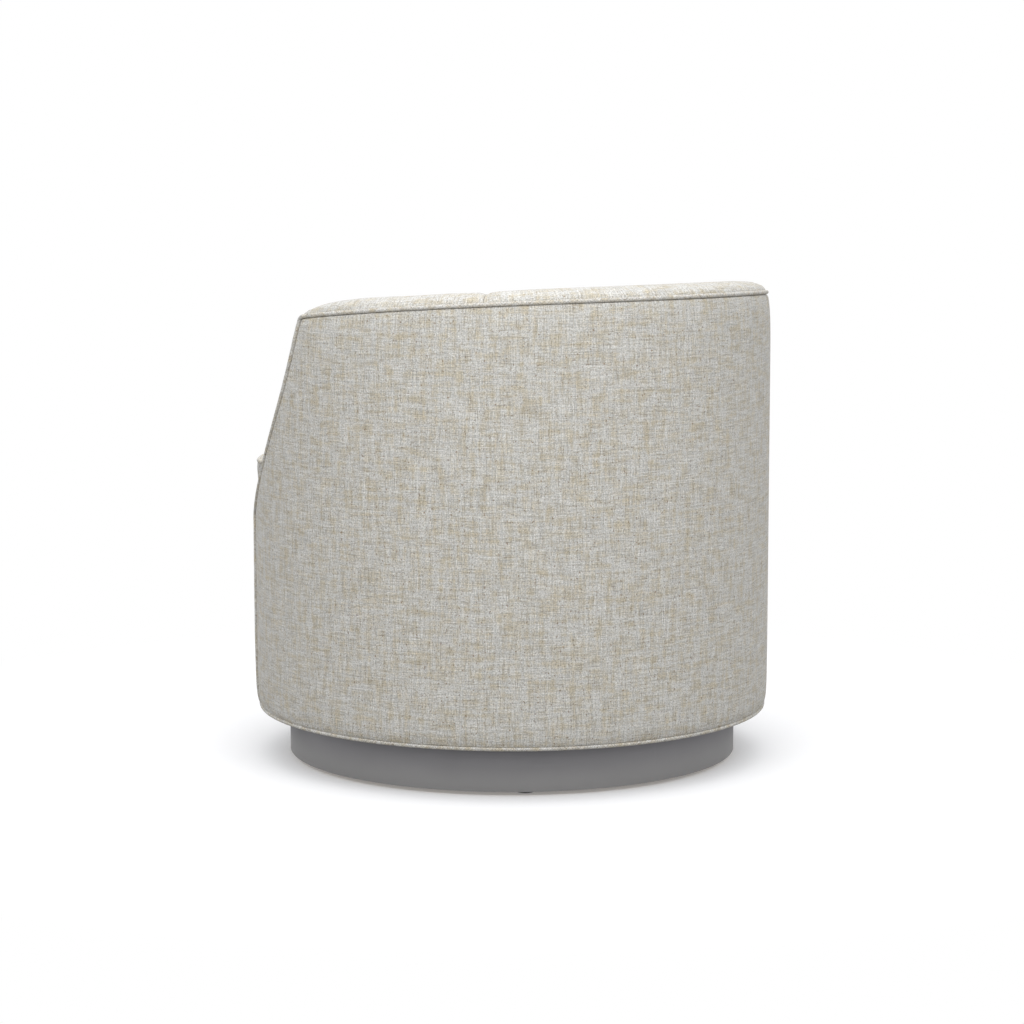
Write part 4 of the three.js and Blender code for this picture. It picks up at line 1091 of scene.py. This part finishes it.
def turned(name, outline, material, steps=256, centre=(0, 0)):
    """A turned ring from a closed outline of radius and height, or a solid from the axis out."""
    outline = np.asarray(outline, float)
    across = len(outline)
    turns = np.linspace(0, 2 * math.pi, steps, endpoint=False)[:, None]
    points = polar(outline[:, 0], turns, outline[:, 1]).reshape(-1, 3) + (*centre, 0)
    lengths = np.cumsum(np.linalg.norm(np.diff(outline, axis=0), axis=1))
    lengths = np.concatenate([[0], lengths, [0]])
    pace = 2 * math.pi / steps * outline[:, 0].max()
    solid = outline[0, 0] == 0
    faces = []
    corners = []
    for i in range(steps):
        here, after = i * across, (i + 1) % steps * across
        near, far = i * pace, (i + 1) * pace
        for j in range(across - 1 if solid else across):
            up = (j + 1) % across
            faces.append([here + j, after + j, after + up, here + up])
            low, high = lengths[j : j + 2]
            corners += [(near, low), (far, low), (far, high), (near, high)]
    ring = mesh_object(name, points, faces, corners, material)
    if solid:
        face_outwards(ring.data, join=True)
    return ring


band_outline = [
    (BAND_RADIUS - BAND_WALL, band_low.z),
    (BAND_RADIUS - BAND_ROUND, band_low.z),
    (BAND_RADIUS, band_low.z + 0.0004),
    (BAND_RADIUS, band_high.z - 0.0004),
    (BAND_RADIUS - BAND_ROUND, band_high.z),
    (BAND_RADIUS - BAND_WALL, band_high.z),
]
band = turned("plinth_skin", band_outline, brushed_steel("brushed_steel_sheet"))
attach(band, "base")
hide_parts("plinth_band")


# Glides
# Four moulded nylon glides under the plinth, pressed into its foot ring. Only their rims show:
# black and half matt, with the faint grain of the mould and dust from the floor.
glide_nylon = mottled(
    "black_moulded_nylon",
    "#2c2c2e",
    "#19191b",
    {"Scale": 120.0, "Detail": 3.0},
    (0.2, 0.0001),
    fine={"Scale": 900.0, "Detail": 2.0},
    Roughness=0.5,
    IOR=1.53,
)
STEM = 0.0035
HEAD_TOP = 0.0057
for number in range(1, 5):
    node = f"floor_glide_{number}"
    foot_low, foot_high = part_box(node)
    middle = (foot_low + foot_high) / 2
    rim = (foot_high.x - foot_low.x) / 2
    outline = [(0, 0), (rim - 0.002, 0), (rim - 0.0006, 0.0006), (rim, 0.002), (rim, 0.0046)]
    outline += [(rim - 0.0008, HEAD_TOP), (STEM, HEAD_TOP), (STEM, foot_high.z - 0.001)]
    outline += [(STEM - 0.001, foot_high.z), (0, foot_high.z)]
    glide = turned(f"glide_{number}", outline, glide_nylon, steps=48, centre=(middle.x, middle.y))
    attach(glide, "base")
    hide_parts(node)


# Frame and mechanism
# Beech posts and rails and birch plywood boards, glued and stapled, thin hardboard under the
# covers, and a zinc plated ball-bearing plate. The covers hide them all.
def bare_wood(name, light, dark, grain_mm, roughness):
    """Planed wood: pale, with darker grain that runs along one axis."""
    size = (1000 / grain_mm, 1000 / grain_mm, 60 / grain_mm)
    noise = {"Scale": 1.0, "Detail": 4.0, "Roughness": 0.6, "Distortion": 0.4}
    lift, spread = (0.15, 0.0003), (0.3, 0.7)
    surface = {"Roughness": roughness, "IOR": 1.5}
    return mottled(name, light, dark, noise, lift, spread, size, **surface)


finishes = {
    "birch_ply": bare_wood("bare_birch_plywood", "#d8bd92", "#bf9e70", 3.0, 0.7),
    "beech": bare_wood("planed_beech", "#c79c72", "#a97c52", 4.0, 0.62),
    "fibreboard": bare_wood("thin_hardboard", "#96785a", "#7a5e43", 1.2, 0.82),
    "zinc_steel": zinc_plate,
    "spring_steel": plated_steel("oiled_spring_wire", "#6c7074", "#4b4e52", 0.42),
}
slots = {row["node"]: row["material_slot"] for row in frame["record"]["subparts"]}
for node, piece in frame["nodes"].items():
    if slots[node] in finishes:
        piece.data.materials.clear()
        piece.data.materials.append(finishes[slots[node]])
